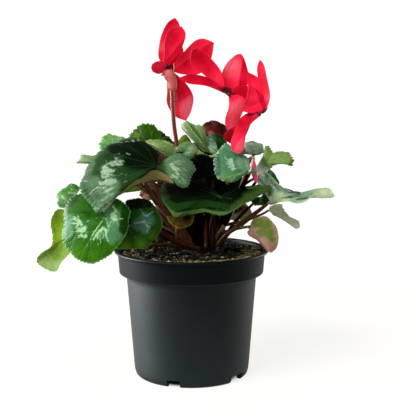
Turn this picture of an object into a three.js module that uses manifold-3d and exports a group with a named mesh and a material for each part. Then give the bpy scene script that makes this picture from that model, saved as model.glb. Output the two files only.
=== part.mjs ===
// A potted cyclamen: a black nursery pot with drain notches, potting soil, the half-buried tuber with its
// leaf stalks, toothed heart-shaped leaves, three flowers with swept-back petals, and a hanging bud.
// Millimetres, +Z up. The origin is the middle of the pot's foot, on the surface that it stands on.

import * as THREE from "three";
import { mergeVertices } from "three/addons/utils/BufferGeometryUtils.js";
import Module from "manifold-3d";

// Driving dimensions of the pot
const POT_HEIGHT = 99;
const LIP_RADIUS = 60;
const LIP_THICKNESS = 1.7;
const BAND_RADIUS = 57.4;
const BAND_HEIGHT = 17.5;
const BODY_RADIUS = 50.5;
const BODY_TOP = 76;
const FOOT_RADIUS = 41.8;
const WALL = 1.5;
const FLOOR_UNDERSIDE = 3.6;
const PAD_RADIUS = 9;
const SIDES = 32;
const NOTCHES = { count: 5, first: -17, width: 10.6, height: 3.8, depth: 6 };
const DRAIN = { radius: 4, out: 28, sides: 12 };

// Driving dimensions of what grows in it
const CLEARANCE = 0.35;
const SOIL_LEVEL = 95.5;
const SOIL_RISE = 1.2;
const SOIL_RINGS = [53, 44, 32, 20, 0];
const TUBER = { x: 9, y: 6, z: 95, radius: 17, height: 9 };
const LEAF_THICKNESS = 0.9;
const PETAL_THICKNESS = 0.8;
const TOOTH_DEPTH = 1;
const TOOTH_WIDTH = 9.5;
const FEWEST_TEETH = 9;
const HEART = { last: 156, step: 26, long: 0.16, notch: 0.1, sag: 0.16, dome: 0.1 };
const PETAL_NET = { across: 3, along: 6, hollow: 0.5 };
const STALK = { radius: 1.35, tip: 0.6, sides: 4 };
const SOCKET = 1.3;
const GOLDEN = 0.618;
const SCAPE = { radius: 1.55, swell: 1.5, sides: 6, steps: 18 };

// Outlines are given as they look from the front: across and up in the upright plane through the pot's
// axis, then the depth behind that plane. The sight line from the eye carries each point to its depth.
const EYE_DISTANCE = 750;
const EYE_HEIGHT = 233;

const COLOURS = {
  pot: 0x24272a,
  soil: 0x3d2f22,
  crown: 0x6b3f2c,
  leaf: 0x2f6b35,
  petal: 0xe0213f,
  scape: 0x9a4a3c,
  bud: 0xe8456a,
};

// Leaves that the front shows. at: where the stalk joins the blade. lean: how fast the depth grows across
// and upward. dome: how far the middle stands proud. A third number of an edge point is depth added there.
const LEAVES = [
  { name: "leaf_01", at: [-27, 163, -32], lean: [0.1, 0.6], dome: 5, under: 0,
    edge: [[-24.1, 172.8], [-30.3, 178.4], [-38.7, 184.4], [-51.3, 185], [-62.5, 181.9], [-72, 175],
           [-79.4, 165.8], [-83.4, 156.7], [-86.5, 148.9], [-84.9, 141.1], [-78.7, 133.3], [-74, 127.2],
           [-66.2, 130.4], [-59.1, 139], [-49, 151], [-39.1, 154.5], [-31, 160], [-24, 159.6],
           [-17.9, 156], [-10.9, 148.9], [-6.7, 146.8], [-2.5, 147.8], [0.7, 156], [3.8, 162.3],
           [-0.4, 169.3], [-8, 174], [-15, 169.4]],
    via: [[-29, 152, -24], [-24, 138, -17], [-18, 120, -8]] },
  { name: "leaf_02", at: [-67, 125, -48], lean: [-0.12, 0.35], dome: 4, under: 0,
    edge: [[-59.6, 138.4], [-52, 135.5], [-47.2, 128.8], [-48.4, 122.8], [-49, 115.5], [-54, 105],
           [-61.6, 95.6], [-68.1, 90.9], [-77.2, 87.3], [-88, 89.6], [-94.3, 95.6], [-99.8, 102.8],
           [-101, 112], [-99.9, 118.5], [-98.6, 130.9], [-93.9, 138.7], [-86.2, 142.6], [-78, 138]],
    via: [[-61, 136, -38], [-48, 145, -29], [-36, 143, -22], [-26, 133, -14], [-13, 114, -4]] },
  { name: "leaf_03", at: [-48, 117, -36], lean: [0.1, 0.25], dome: 3, under: 0,
    edge: [[-50.3, 136.4], [-43.6, 138.6], [-33.5, 137.9], [-27.5, 132.4], [-23.3, 124], [-23, 115.5],
           [-26.4, 108.9], [-32.3, 102.2], [-39.5, 99.2], [-51.6, 98.9], [-59, 102], [-63, 110],
           [-60, 119]],
    via: [[-36, 129, -26], [-25, 128, -17], [-16, 116, -8]] },
  { name: "leaf_04", at: [-98, 108, -28], lean: [0.15, 0.25], dome: -3, under: 0,
    edge: [[-99, 131], [-105, 129.5], [-109.6, 121.1], [-108.4, 110], [-109.8, 100.8], [-117.9, 94.9],
           [-121.2, 89.3], [-114.9, 83.6], [-106.6, 81], [-102, 88.3], [-96.5, 93.6], [-90, 101]],
    via: [[-84, 104, -25], [-66, 101.5, -20], [-44, 101, -11], [-20, 102, -4]] },
  { name: "leaf_05", at: [-90, 140, -24], lean: [0.1, 0.3], dome: 2, under: 0,
    edge: [[-85, 147], [-92.4, 150.7], [-98, 147.2], [-103.4, 143.2], [-104.8, 139.3], [-103, 132.2],
           [-96, 131]],
    via: [[-80, 137, -18], [-62, 131, -12], [-34, 120, -5]] },
  { name: "leaf_06", at: [-70, 166, 26], lean: [0, 0.4], dome: 2, under: 0,
    edge: [[-70, 174], [-77, 172], [-85.5, 173], [-85.2, 170.4], [-89.1, 166.2], [-84.4, 166.2],
           [-79.9, 165.5], [-74, 160]] },
  { name: "leaf_07", at: [-56, 175, 10], lean: [0, 0.5], dome: 2, under: 0,
    edge: [[-48, 185], [-54.6, 186.8], [-59.5, 187.8], [-63, 189.2], [-67.2, 187], [-70, 184],
           [-71.3, 178.3], [-66, 170]] },
  { name: "leaf_08", at: [-30, 177, 26], lean: [0, 0.35], dome: 3, under: 0,
    edge: [[-13, 178], [-14.1, 183.6], [-19, 188.5], [-26.7, 193.4], [-28.8, 196.2], [-37.8, 196.6],
           [-44.8, 191.6], [-48.3, 186.8], [-50, 178], [-42, 170]] },
  { name: "leaf_09", at: [-15, 171.5, -3], lean: [0, 0.4], dome: 2, under: 0,
    edge: [[-24, 170], [-30, 175], [-31.6, 181.9], [-26.7, 183.5], [-21.8, 185], [-15.5, 182.5],
           [-9.2, 177.7]],
    via: [[-13, 165, 5], [-9, 155, 15], [0, 125, 12]] },
  { name: "leaf_10", at: [-2, 169, -16], lean: [0, 0.5], dome: 2, under: 0,
    edge: [[-10, 171], [-9.3, 179], [-6.5, 181.9], [-3, 182.9], [0.5, 181.2], [4, 179.8], [5.4, 177],
           [4.7, 174.2]],
    via: [[-6.5, 165, -9], [-9, 154, 9], [0, 125, 10]] },
  { name: "leaf_11", at: [16, 173.5, 0], lean: [0, 0], dome: 2.5, under: 0,
    edge: [[9.3, 176], [2.3, 181.8], [-4.7, 187.6], [-8.3, 193.5], [-6, 197.2], [-3.5, 198.2],
           [0.7, 195.3], [7.4, 194], [9.5, 185.7], [13, 179]],
    via: [[17, 150, 2], [15.5, 120, 0]] },
  { name: "leaf_12", at: [25, 184, 28], lean: [0, 0.3], dome: 3, under: 1,
    edge: [[15, 184], [5.5, 190.8], [10, 196.3], [16.4, 198.8], [24.1, 196.3], [28.5, 191.5],
           [29, 186]] },
  { name: "leaf_13", at: [22, 177, 18], lean: [0, 0.2], dome: 2, under: 0,
    edge: [[13, 177], [11.5, 182], [13, 187], [18, 189], [24, 187], [27.5, 182], [27, 177.5]],
    via: [[25, 150, 22], [20, 115, 18]] },
  { name: "leaf_14", at: [44.5, 159.5, -38], lean: [0.05, 0.5], dome: 3, under: 0,
    edge: [[48, 158.4], [53, 159.6], [53, 162], [48, 163.4], [46, 167], [44, 170.9], [40.1, 173.5],
           [35, 172.8], [29.9, 174.1], [26.3, 181.5], [20.2, 176], [17, 166], [18.3, 158],
           [23.4, 152.2], [31.1, 151.8], [37.5, 154.8], [42, 157.2]],
    via: [[43.6, 155.5, -31], [41, 149.5, -17], [37.5, 142.5, -4], [27, 120, 2]] },
  { name: "leaf_15", at: [50, 171, 18], lean: [0, 0.5], dome: 2, under: 0,
    edge: [[43, 172], [40.8, 177.3], [41.8, 182.1], [46.6, 182.8], [52.4, 182.1], [55.2, 179],
           [56, 173]] },
  { name: "leaf_16", at: [59.5, 169, -4], lean: [-0.1, 0.35], dome: 2, under: 0,
    edge: [[54, 164], [52, 168], [55.2, 173], [55.5, 178.5], [58.8, 180.2], [61.3, 178.3],
           [65.1, 174.7], [70.6, 175.7], [76, 173.5], [79.5, 168], [78.5, 164.5], [75.3, 166.1],
           [69.6, 166.1], [61.9, 163.8], [57.4, 161.2]],
    via: [[56, 160, 2], [44, 143, 8], [26, 118, 8]] },
  { name: "leaf_17", at: [60, 159, 30], lean: [0, 0.3], dome: 1, under: 0,
    edge: [[57, 163], [63, 159.5], [66, 155], [68.5, 150], [64, 149], [57, 153]] },
  { name: "leaf_18", at: [61, 137.5, -12], lean: [-0.25, 0.3], dome: 3, under: 0,
    edge: [[60, 146], [56.3, 150], [51.3, 152], [50.6, 157.7], [56.2, 160.5], [63.3, 154.9],
           [68.2, 149.9], [76.6, 144.2], [80.2, 144], [85.1, 142.6], [83, 141.1], [74, 140.2]],
    via: [[58, 132.8, -12], [45, 122.1, -16], [36.5, 115.7, -16], [26, 109, -12]] },
  { name: "leaf_19", at: [22, 139.5, -28], lean: [0, 2.4], dome: 3, under: 0,
    edge: [[15, 147], [5, 151], [-8, 154], [-18, 154.5], [-23, 150], [-23.5, 143], [-22.6, 136],
           [-16.6, 128.2], [-12.4, 124.9], [-3.5, 127], [8.5, 128.8], [18.2, 126.5], [23.8, 125.4],
           [28.8, 125.8], [33.7, 128.6], [43, 135], [52.1, 140.7, -5], [61.3, 146.4, -16],
           [59.2, 148.7, -18], [49, 147, -10], [36, 144.5, -5]],
    via: [[20, 133, -18], [15, 115, -6]] },
  { name: "leaf_20", at: [-9, 124, -40], lean: [0, 0.3], dome: 2, under: 1,
    edge: [[-19, 124.2], [-17.6, 119.8], [-13.6, 116.7], [-10.7, 114.9], [-5.3, 115.2], [-1.1, 117.3],
           [1.6, 120.4], [2.5, 125.6]],
    via: [[-10, 119, -34], [-11, 110, -22], [-5, 102, -8]] },
  { name: "leaf_21", at: [46, 115, -28], lean: [0, 0.2], dome: 3, under: 1,
    edge: [[46.4, 119.2], [49.2, 122.7], [56.9, 124.6], [60.5, 122.8], [66.8, 114.9], [68.1, 106],
           [66.8, 99.9], [62.9, 95.5], [59.3, 97.1], [53.1, 103.5], [45.3, 108.6], [43.4, 112]],
    via: [[42.2, 116, -22], [31, 113.6, -8], [20, 109, -1]] },
  { name: "leaf_22", at: [60, 129, 4], lean: [0, 0.3], dome: 2, under: 0,
    edge: [[61.2, 132.1], [66.1, 133.9], [71.1, 133.5], [73.5, 128], [78.1, 122.6], [84.8, 119.6],
           [83.5, 114], [79.5, 116.2], [74.6, 119.6], [69.6, 122.6], [64, 125]],
    via: [[55, 126, 3], [42.2, 121, 0], [31, 118.5, -1], [20, 114, 1]] },
  { name: "leaf_23", at: [54, 139, 12], lean: [0, 1.5], dome: 1, under: 0,
    edge: [[49, 138.5], [46.5, 135.7], [50, 132.9], [54, 132.8], [60.5, 135], [62, 140], [57, 142.5]],
    via: [[50, 136, 10], [34, 120, 8]] },
  { name: "leaf_24", at: [36, 129, 26], lean: [0, 2], dome: 1, under: 1,
    edge: [[34, 127.2, 6], [39.4, 127.6, -4], [44.7, 128.8, 0], [42.5, 131.8, 4], [37.5, 132.6, 8]],
    via: [[33, 127, 24], [25.3, 122.1, 14]] },
  { name: "leaf_25", at: [40, 142, 24], lean: [0, 2], dome: 1, under: 1,
    edge: [[30, 140, 4], [29.5, 143, 4], [36, 145.5, 8], [46, 148, 8], [56, 148.5, 0], [58, 145, -4],
           [50, 141, -4]],
    via: [[36, 138, 20], [24, 118, 12]] },
  { name: "leaf_26", at: [-27, 149, 20], lean: [0, 0.5], dome: 2, under: 1,
    edge: [[-36, 150], [-42, 145], [-40, 140], [-33, 138], [-26, 140], [-20, 145], [-19, 152],
           [-24, 156]] },
  { name: "leaf_27", at: [62, 135.8, -12], lean: [0, 0], dome: 0.5, under: 0,
    edge: [[68, 138.6, 8], [75.9, 140, 14], [85.8, 140.8, 18], [97.1, 144.2, 16], [107.8, 146.4, 6],
           [111.3, 141.4, -2], [109.9, 139, -10], [100.7, 139.6, -18], [91.5, 137.2, -21],
           [82.3, 136.6, -19], [70.3, 135.4, -11]],
    via: [[58, 133.5, -11], [45, 124, -11], [33, 115, -8]] },
  { name: "leaf_28", at: [9, 154, -8], lean: [0, 0.15], dome: 2, under: 0,
    edge: [[3, 154], [-3, 158], [-4, 164], [-1, 170], [6, 173], [13, 172], [19, 168], [22, 161], [20, 155],
           [15, 151.5]],
    via: [[10, 150, 3], [11, 125, 1]] },
];

// Leaves at the back and under the front ones, placed round the plant: where the stalk joins the blade
// (millimetres), the way the tip points, how far it droops, the turn about its midrib, and its reach.
const HEARTS = [
  { name: "leaf_29", at: [66, 50, 139], heading: 25, droop: 8, turn: 8, size: 21 },
  { name: "leaf_30", at: [38, 60, 178], heading: 62, droop: 8, turn: -10, size: 24 },
  { name: "leaf_31", at: [2, 80, 152], heading: 95, droop: 28, turn: 6, size: 31 },
  { name: "leaf_32", at: [-28, 60, 176], heading: 118, droop: 20, turn: -8, size: 27 },
  { name: "leaf_33", at: [-56, 56, 160], heading: 145, droop: 18, turn: 10, size: 29 },
  { name: "leaf_34", at: [-55, 40, 117], heading: 150, droop: 35, turn: -6, size: 21 },
  { name: "leaf_35", at: [63, 32, 114], heading: 28, droop: 48, turn: 8, size: 18 },
  { name: "leaf_36", at: [-14, 66, 123], heading: 104, droop: 44, turn: -8, size: 20 },
  { name: "leaf_37", at: [32, 63, 126], heading: 66, droop: 50, turn: 4, size: 19 },
];

// Each flower: its petals as two edges from the base to the tip, then the curve of its stalk and calyx.
const FLOWERS = [
  { heart: [-17.5, 239, 9], size: 4.2,
    petals: [
      { left: [[-20, 240, 9], [-24.6, 247, 12], [-23, 261, 14], [-18, 272, 15]],
        right: [[-16, 241, 11], [-13, 250, 14], [-9, 262, 15], [-8.7, 271, 15]], tip: [-12, 276.3, 15] },
      { left: [[-21, 240, 7], [-22.4, 249, 4], [-21, 260, 3], [-16, 268, 5]],
        right: [[-18, 241, 7], [-12, 251, 7], [-6, 258, 8], [-4, 264, 8]], tip: [-6.5, 269.9, 7] },
      { left: [[-17.5, 241, 11], [-16, 250, 15], [-12, 256, 17]],
        right: [[-14, 237, 12], [-8.5, 243, 15], [-5.7, 250.6, 17]], tip: [-7.5, 257.4, 18] },
      { left: [[-15, 240, 10], [-5.6, 250.5, 13], [3, 259, 14], [10, 260.6, 13]],
        right: [[-14, 236, 9], [-5.3, 233.8, 10], [6.8, 234.6, 12], [15, 245, 14]], tip: [17.4, 257.6, 12] },
      { left: [[-18.5, 238.4, 10.5], [-18.2, 222, 14], [-18.5, 212, 15], [-13, 202.5, 14]],
        right: [[-15.5, 237.6, 10.5], [-4, 227, 15], [1.6, 217, 15], [0, 206, 13]], tip: [-4, 198.3, 12] },
      { left: [[-19.5, 240.8, 7.5], [-25, 243, -6], [-28.6, 241.6, -16]],
        right: [[-19.5, 237.6, 7.5], [-25, 235.4, -6], [-29, 236.5, -16]], tip: [-29.6, 239, -19] },
    ],
    scape: [[-17.2, 236.2, 6.3], [-14.6, 228, 3], [-14.6, 221, 3], [-14, 207, 5], [-13, 194, 8], [-11, 180.5, 11],
            [-8, 160, 17], [-4, 130, 16], [5.5, 101, 6]], calyx: 0.12 },
  { heart: [26.5, 220.8, -9], size: 4,
    petals: [
      { left: [[23, 222.5, -12], [9.3, 234, -11], [0.3, 241, -9], [-0.5, 247, -9]],
        right: [[26, 223, -12], [23, 236, -9], [14, 247, -8], [6, 253, -8]], tip: [0.8, 252.4, -9] },
      { left: [[25.5, 219.5, -11], [12, 225, -17], [-2, 227, -18]],
        right: [[25.5, 222.5, -11], [14, 231, -16], [0, 233.8, -17]], tip: [-9.8, 231.1, -17] },
      { left: [[25.5, 222.5, -8], [23.6, 233, -10], [27, 241.5, -8], [34, 248.3, -4]],
        right: [[34, 221, -7], [43.8, 228, -3], [41.8, 238, -2], [40.4, 245, -2]], tip: [38.4, 249.2, -3] },
      { left: [[30, 219, -9], [36, 217, -9], [43, 214.6, -8]],
        right: [[30, 222, -8], [37, 223, -6], [43.5, 222.8, -4]], tip: [44.9, 218.8, -5] },
      { left: [[28.5, 219, -12], [29, 210, -14], [26.2, 200, -12], [27, 192.6, -10]],
        right: [[34, 219.5, -11], [42.6, 213.5, -10], [38.5, 203, -9], [34.5, 193, -8]],
        tip: [31.4, 189.2, -9] },
    ],
    scape: [[26.8, 221.2, -5.2], [28.5, 224, 4], [30, 218, 8], [29, 205, 9], [26.5, 190, 8], [24.2, 178, 7],
            [20, 150, 13], [14, 122, 14], [9, 101, 10]], calyx: 0.06 },
  { heart: [52.8, 204.8, -24], size: 3.2,
    petals: [
      { left: [[50, 204, -27], [40.6, 206.4, -28], [44.6, 216, -26]],
        right: [[54, 205.5, -25], [57, 211, -23], [51.7, 221, -22]], tip: [44.6, 227.2, -23] },
      { left: [[51, 206, -22], [44, 218, -18], [42.4, 230, -15]],
        right: [[55, 207, -21], [56.4, 219, -17], [50, 232, -14]], tip: [43.6, 235.4, -14] },
      { left: [[54, 206, -23], [56, 216, -17], [51.5, 230, -15], [50.4, 239, -16]],
        right: [[57, 205.5, -24], [60.2, 217, -24], [57.6, 232, -22], [55.4, 241, -20]],
        tip: [52.4, 244.9, -18] },
      { left: [[50.5, 205.4, -26], [39, 201.4, -30], [33, 189, -38], [31, 180, -40]],
        right: [[54, 203, -25], [46, 196, -31], [41.8, 189, -37], [41, 179.5, -39]],
        tip: [35.8, 174.5, -41] },
      { left: [[51.5, 205, -23], [36, 196, -21], [26, 189, -20]],
        right: [[52.5, 203, -23], [40, 190, -20], [32, 181.5, -19]], tip: [25.6, 183.6, -20] },
    ],
    scape: [[52.9, 206.2, -21.4], [51, 210, -12], [47.5, 204, -9], [42, 191, -8], [36.5, 178, -4], [30, 158, 4],
            [23, 130, 6], [12.5, 101, 5]], calyx: 0.06 },
];

const BUD = {
  scape: [[48, 166.6, -31], [48.6, 170.4, -30], [46.8, 171.2, -26], [43.5, 163, -16], [38, 146, 2],
          [29, 122, -3], [13, 101, 0]],
  body: [[48.1, 165.4, -31], [48.6, 160, -31], [49.6, 155, -31], [50.6, 150.5, -31]],
  radius: 1.9,
};

const wasm = await Module();
wasm.setup();

// A point seen at (across, up) in the axis plane, at the given depth.
function seen([across, up, depth]) {
  const share = (EYE_DISTANCE + depth) / EYE_DISTANCE;
  return new THREE.Vector3(across * share, depth, EYE_HEIGHT + (up - EYE_HEIGHT) * share);
}

function toSolid(geometry) {
  const bare = new THREE.BufferGeometry().setAttribute("position", geometry.getAttribute("position"));
  if (geometry.index) bare.setIndex(geometry.index);
  const merged = mergeVertices(bare, 1e-4);
  return new wasm.Manifold(
    new wasm.Mesh({
      numProp: 3,
      vertProperties: new Float32Array(merged.attributes.position.array),
      triVerts: new Uint32Array(merged.index.array),
    }),
  );
}

function fromSolid(solid) {
  const mesh = solid.getMesh();
  return new THREE.BufferGeometry()
    .setAttribute("position", new THREE.BufferAttribute(new Float32Array(mesh.vertProperties), 3))
    .setIndex(new THREE.BufferAttribute(new Uint32Array(mesh.triVerts), 1));
}

function indexed(positions, indices) {
  return new THREE.BufferGeometry()
    .setAttribute("position", new THREE.Float32BufferAttribute(positions, 3))
    .setIndex(indices);
}

function union(geometries) {
  return geometries.map(toSolid).reduce((whole, next) => whole.add(next));
}

function smooth(points) {
  const curve = new THREE.CatmullRomCurve3(points, false, "catmullrom", 0.5);
  curve.arcLengthDivisions = 400;
  return curve;
}

// A closed tube round a curve, with its radius given at each share of the way along. Its sides and ends
// stand out by the extra when it makes room for another one.
function tube(points, radiusAt, sides, steps, extra = 0) {
  const curve = smooth(points);
  const frames = curve.computeFrenetFrames(steps, false);
  const positions = [];
  const indices = [];
  for (let i = 0; i <= steps; i++) {
    const centre = curve.getPointAt(i / steps);
    const end = (i === steps) - (i === 0);
    centre.addScaledVector(frames.tangents[i], end * extra);
    for (let j = 0; j < sides; j++) {
      const turn = (j / sides) * 2 * Math.PI;
      const out = frames.normals[i].clone().multiplyScalar(Math.cos(turn));
      out.addScaledVector(frames.binormals[i], Math.sin(turn));
      positions.push(...centre.clone().addScaledVector(out, radiusAt(i / steps) + extra).toArray());
    }
  }
  for (let i = 0; i < steps; i++)
    for (let j = 0; j < sides; j++) {
      const a = i * sides + j;
      const b = i * sides + ((j + 1) % sides);
      indices.push(a, b, a + sides, b, b + sides, a + sides);
    }
  const last = steps * sides;
  for (let j = 1; j < sides - 1; j++) {
    indices.push(0, j + 1, j);
    indices.push(last, last + j, last + j + 1);
  }
  return indexed(positions, indices);
}

// A closed plate between two offsets from a surface, whose rim is listed the way round that the faces turn.
function plate({ points, faces, rim }, thickness) {
  const normals = points.map(() => new THREE.Vector3());
  for (const [a, b, c] of faces) {
    const side = points[b].clone().sub(points[a]);
    const face = side.cross(points[c].clone().sub(points[a]));
    for (const v of [a, b, c]) normals[v].add(face);
  }
  const positions = [];
  for (const side of [0.5, -0.5])
    points.forEach((p, i) => {
      positions.push(...p.clone().addScaledVector(normals[i].normalize(), side * thickness).toArray());
    });
  const count = points.length;
  const indices = [];
  for (const [a, b, c] of faces) indices.push(a, b, c, a + count, c + count, b + count);
  rim.forEach((a, i) => {
    const b = rim[(i + 1) % rim.length];
    indices.push(a, a + count, b, b, a + count, b + count);
  });
  return indexed(positions, indices);
}

// A leaf's surface: arched lines fan out from the base to the toothed edge. Its upper face looks upward, or
// toward the eye unless the leaf shows its underside there.
class Leaf {
  constructor(name, base, edge, dome, via, facing) {
    Object.assign(this, { name, base, dome, via });
    this.curve = smooth(edge);
    this.normal = this.turn();
    if (this.normal.dot(facing) < 0) {
      this.curve = smooth(edge.reverse());
      this.normal = this.turn();
    }
    this.length = this.curve.getLength();
  }

  turn() {
    const rays = this.curve.getSpacedPoints(60).map((p) => p.sub(this.base));
    this.reach = rays.reduce((sum, ray) => sum + ray.length(), 0) / rays.length;
    const normal = new THREE.Vector3();
    for (let i = 1; i < rays.length; i++) normal.add(new THREE.Vector3().crossVectors(rays[i - 1], rays[i]));
    return normal.normalize();
  }

  point(out, along, tooth) {
    const ray = this.curve.getPointAt(along).sub(this.base);
    const arch = (4 * out * (1 - out) * this.dome * ray.length()) / this.reach;
    return this.base
      .clone()
      .addScaledVector(ray, out + tooth / ray.length())
      .addScaledVector(this.normal, arch);
  }

  // The net has half of the steps on its inner ring. Its edge and base stand out by the extra.
  net(extra = 0) {
    const teeth = Math.max(FEWEST_TEETH, Math.round(this.length / TOOTH_WIDTH));
    const rings = [
      { out: 0.55, steps: teeth },
      { out: 1, steps: 2 * teeth },
    ];
    const middle = this.curve.getPointAt(0.5).sub(this.base).normalize();
    const points = [this.base.clone().addScaledVector(middle, -3 * extra)];
    const starts = rings.map(({ out, steps }) => {
      const start = points.length;
      for (let i = 0; i <= steps; i++) {
        const tooth = (i % 2 ? 0.5 : -0.5) * TOOTH_DEPTH;
        const toothed = out === 1 && i > 0 && i < steps;
        points.push(this.point(out, i / steps, (toothed ? tooth : 0) + out * extra));
      }
      return start;
    });
    const [inner, outer] = starts;
    const faces = [];
    for (let i = 0; i < teeth; i++) {
      const near = inner + i;
      const far = outer + 2 * i;
      faces.push([0, near, near + 1]);
      faces.push([near, far, far + 1], [near, far + 1, near + 1], [near + 1, far + 1, far + 2]);
    }
    const rim = [0, inner];
    for (let i = 0; i <= 2 * teeth; i++) rim.push(outer + i);
    rim.push(inner + teeth);
    return { points, faces, rim };
  }
}

function frontLeaf({ name, at, lean, dome, under, edge, via }) {
  const base = seen(at);
  const points = edge.map(([x, z, extra = 0]) =>
    seen([x, z, at[2] + lean[0] * (x - at[0]) + lean[1] * (z - at[1]) + extra]),
  );
  const eye = new THREE.Vector3(0, -EYE_DISTANCE, EYE_HEIGHT).sub(base);
  return new Leaf(name, base, points, under ? -dome : dome, via, under ? eye.negate() : eye);
}

// A heart: widest beside the stalk, two round lobes behind it, and a blunt tip.
function heartLeaf({ name, at, heading, droop, turn, size }) {
  const base = new THREE.Vector3(...at);
  const tilt = new THREE.Euler(
    THREE.MathUtils.degToRad(turn),
    THREE.MathUtils.degToRad(droop),
    THREE.MathUtils.degToRad(heading),
    "ZYX",
  );
  const points = [];
  for (let angle = -HEART.last; angle <= HEART.last; angle += HEART.step) {
    const a = THREE.MathUtils.degToRad(angle);
    const reach = size * (1 + HEART.long * Math.cos(a) - HEART.notch * Math.cos(2 * a));
    const sag = -HEART.sag * size * Math.sin(a) ** 2;
    points.push(new THREE.Vector3(reach * Math.cos(a), reach * Math.sin(a), sag).applyEuler(tilt).add(base));
  }
  const up = new THREE.Vector3(0, 0, 1).applyEuler(tilt);
  return new Leaf(name, base, points, HEART.dome * size, undefined, up);
}

// A petal's surface between its two edges, hollowed along the middle, from the base to one tip point.
function petalNet({ left, right, tip }) {
  const { across, along } = PETAL_NET;
  const one = smooth([...left, tip].map(seen));
  const two = smooth([...right, tip].map(seen));
  const points = [];
  for (let i = 0; i < along; i++) {
    const a = one.getPointAt(i / along);
    const b = two.getPointAt(i / along);
    const hollow = new THREE.Vector3().crossVectors(one.getTangentAt(i / along), b.clone().sub(a));
    for (let j = 0; j <= across; j++) {
      const share = j / across;
      const depth = PETAL_NET.hollow * share * (1 - share);
      points.push(a.clone().lerp(b, share).addScaledVector(hollow, depth));
    }
  }
  const end = points.length;
  points.push(seen(tip));
  const faces = [];
  const row = across + 1;
  for (let i = 0; i < along - 1; i++)
    for (let j = 0; j < across; j++) {
      const a = i * row + j;
      faces.push([a, a + 1, a + row], [a + 1, a + row + 1, a + row]);
    }
  for (let j = 0; j < across; j++) faces.push([end - row + j, end - row + j + 1, end]);
  const rim = [];
  for (let j = 0; j < row; j++) rim.push(j);
  for (let i = 1; i < along; i++) rim.push(i * row + across);
  rim.push(end);
  for (let i = along - 1; i > 0; i--) rim.push(i * row);
  return { points, faces, rim };
}

function ball(centre, radius, flatness = 1) {
  const geometry = new THREE.SphereGeometry(radius, 12, 8);
  geometry.scale(1, 1, flatness);
  return geometry.translate(centre.x, centre.y, centre.z);
}

// The outer and inner line of the pot's wall, from the middle of the foot up to the lip and back inside.
function wallLine() {
  const bandFoot = POT_HEIGHT - BAND_HEIGHT;
  const cornerRadius = FOOT_RADIUS + 3;
  const floor = FLOOR_UNDERSIDE + WALL;
  return {
    outer: [
      [0, 0], [PAD_RADIUS, 0], [PAD_RADIUS + 0.8, FLOOR_UNDERSIDE],
      [FOOT_RADIUS - 3.2, FLOOR_UNDERSIDE], [FOOT_RADIUS - 2.4, 0], [FOOT_RADIUS, 0],
      [FOOT_RADIUS + 1.6, 1.6], [cornerRadius - 0.2, 4.4], [cornerRadius + 0.2, 8],
      [BODY_RADIUS, BODY_TOP], [BODY_RADIUS + 2.6, BODY_TOP + 1], [BAND_RADIUS - 2.4, BODY_TOP + 2.8],
      [BAND_RADIUS - 1.2, bandFoot], [BAND_RADIUS, POT_HEIGHT - LIP_THICKNESS - 0.8],
      [BAND_RADIUS + 0.8, POT_HEIGHT - LIP_THICKNESS], [LIP_RADIUS, POT_HEIGHT - LIP_THICKNESS + 0.1],
      [LIP_RADIUS, POT_HEIGHT - 0.5], [LIP_RADIUS - 0.5, POT_HEIGHT],
    ],
    inner: [
      [BAND_RADIUS - WALL + 0.4, POT_HEIGHT], [BAND_RADIUS - WALL - 0.2, POT_HEIGHT - 1.4],
      [BAND_RADIUS - WALL - 1.2, bandFoot + 0.6], [BODY_RADIUS - WALL, BODY_TOP + 1.4],
      [cornerRadius + 0.2 - WALL, 8.4], [cornerRadius - 2.2, floor], [0, floor],
    ],
  };
}

function lathe(line) {
  const geometry = new THREE.LatheGeometry(line.map(([r, z]) => new THREE.Vector2(r, z)), SIDES);
  return geometry.rotateX(Math.PI / 2);
}

function pot() {
  const { outer, inner } = wallLine();
  let solid = toSolid(lathe([...outer, ...inner]));
  for (let i = 0; i < NOTCHES.count; i++) {
    const turn = THREE.MathUtils.degToRad(NOTCHES.first - 90 + (i * 360) / NOTCHES.count);
    const notch = new THREE.BoxGeometry(2 * NOTCHES.depth, NOTCHES.width, 2 * NOTCHES.height);
    notch.translate(FOOT_RADIUS, 0, 0).rotateZ(turn);
    const drain = new THREE.CylinderGeometry(DRAIN.radius, DRAIN.radius, 20, DRAIN.sides);
    drain.rotateX(Math.PI / 2).translate(DRAIN.out, 0, 0).rotateZ(turn);
    solid = solid.subtract(toSolid(notch)).subtract(toSolid(drain));
  }
  return fromSolid(solid);
}

// Soil fills the pot to just under its lip and rises a little, in lumps, toward the tuber.
function soil(tuber) {
  const top = SOIL_LEVEL;
  const inner = wallLine().inner.slice(2, -1).reverse();
  const edge = inner.map(([r, z]) => [r - CLEARANCE, z + CLEARANCE]);
  const wall = [[0, edge[0][1]], ...edge, [BAND_RADIUS - WALL - 0.6 - CLEARANCE, top - 1.2]];
  const surface = SOIL_RINGS.map((r) => [r, top + SOIL_RISE * (1 - r / SOIL_RINGS[0])]);
  const geometry = lathe([...wall, ...surface]);
  const place = geometry.attributes.position;
  for (let i = 0; i < place.count; i++) {
    const x = place.getX(i);
    const y = place.getY(i);
    const lump = 0.5 * Math.sin(0.31 * x + 1.3) * Math.cos(0.27 * y) + 0.4 * Math.sin(0.52 * y - 0.2 * x);
    if (place.getZ(i) > top - 0.5) place.setZ(i, place.getZ(i) + lump);
  }
  return fromSolid(toSolid(geometry).subtract(tuber));
}

function tuberBall(extra) {
  const { x, y, z, radius, height } = TUBER;
  return ball(new THREE.Vector3(x, y, z), radius + extra, (height + extra) / (radius + extra));
}

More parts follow.
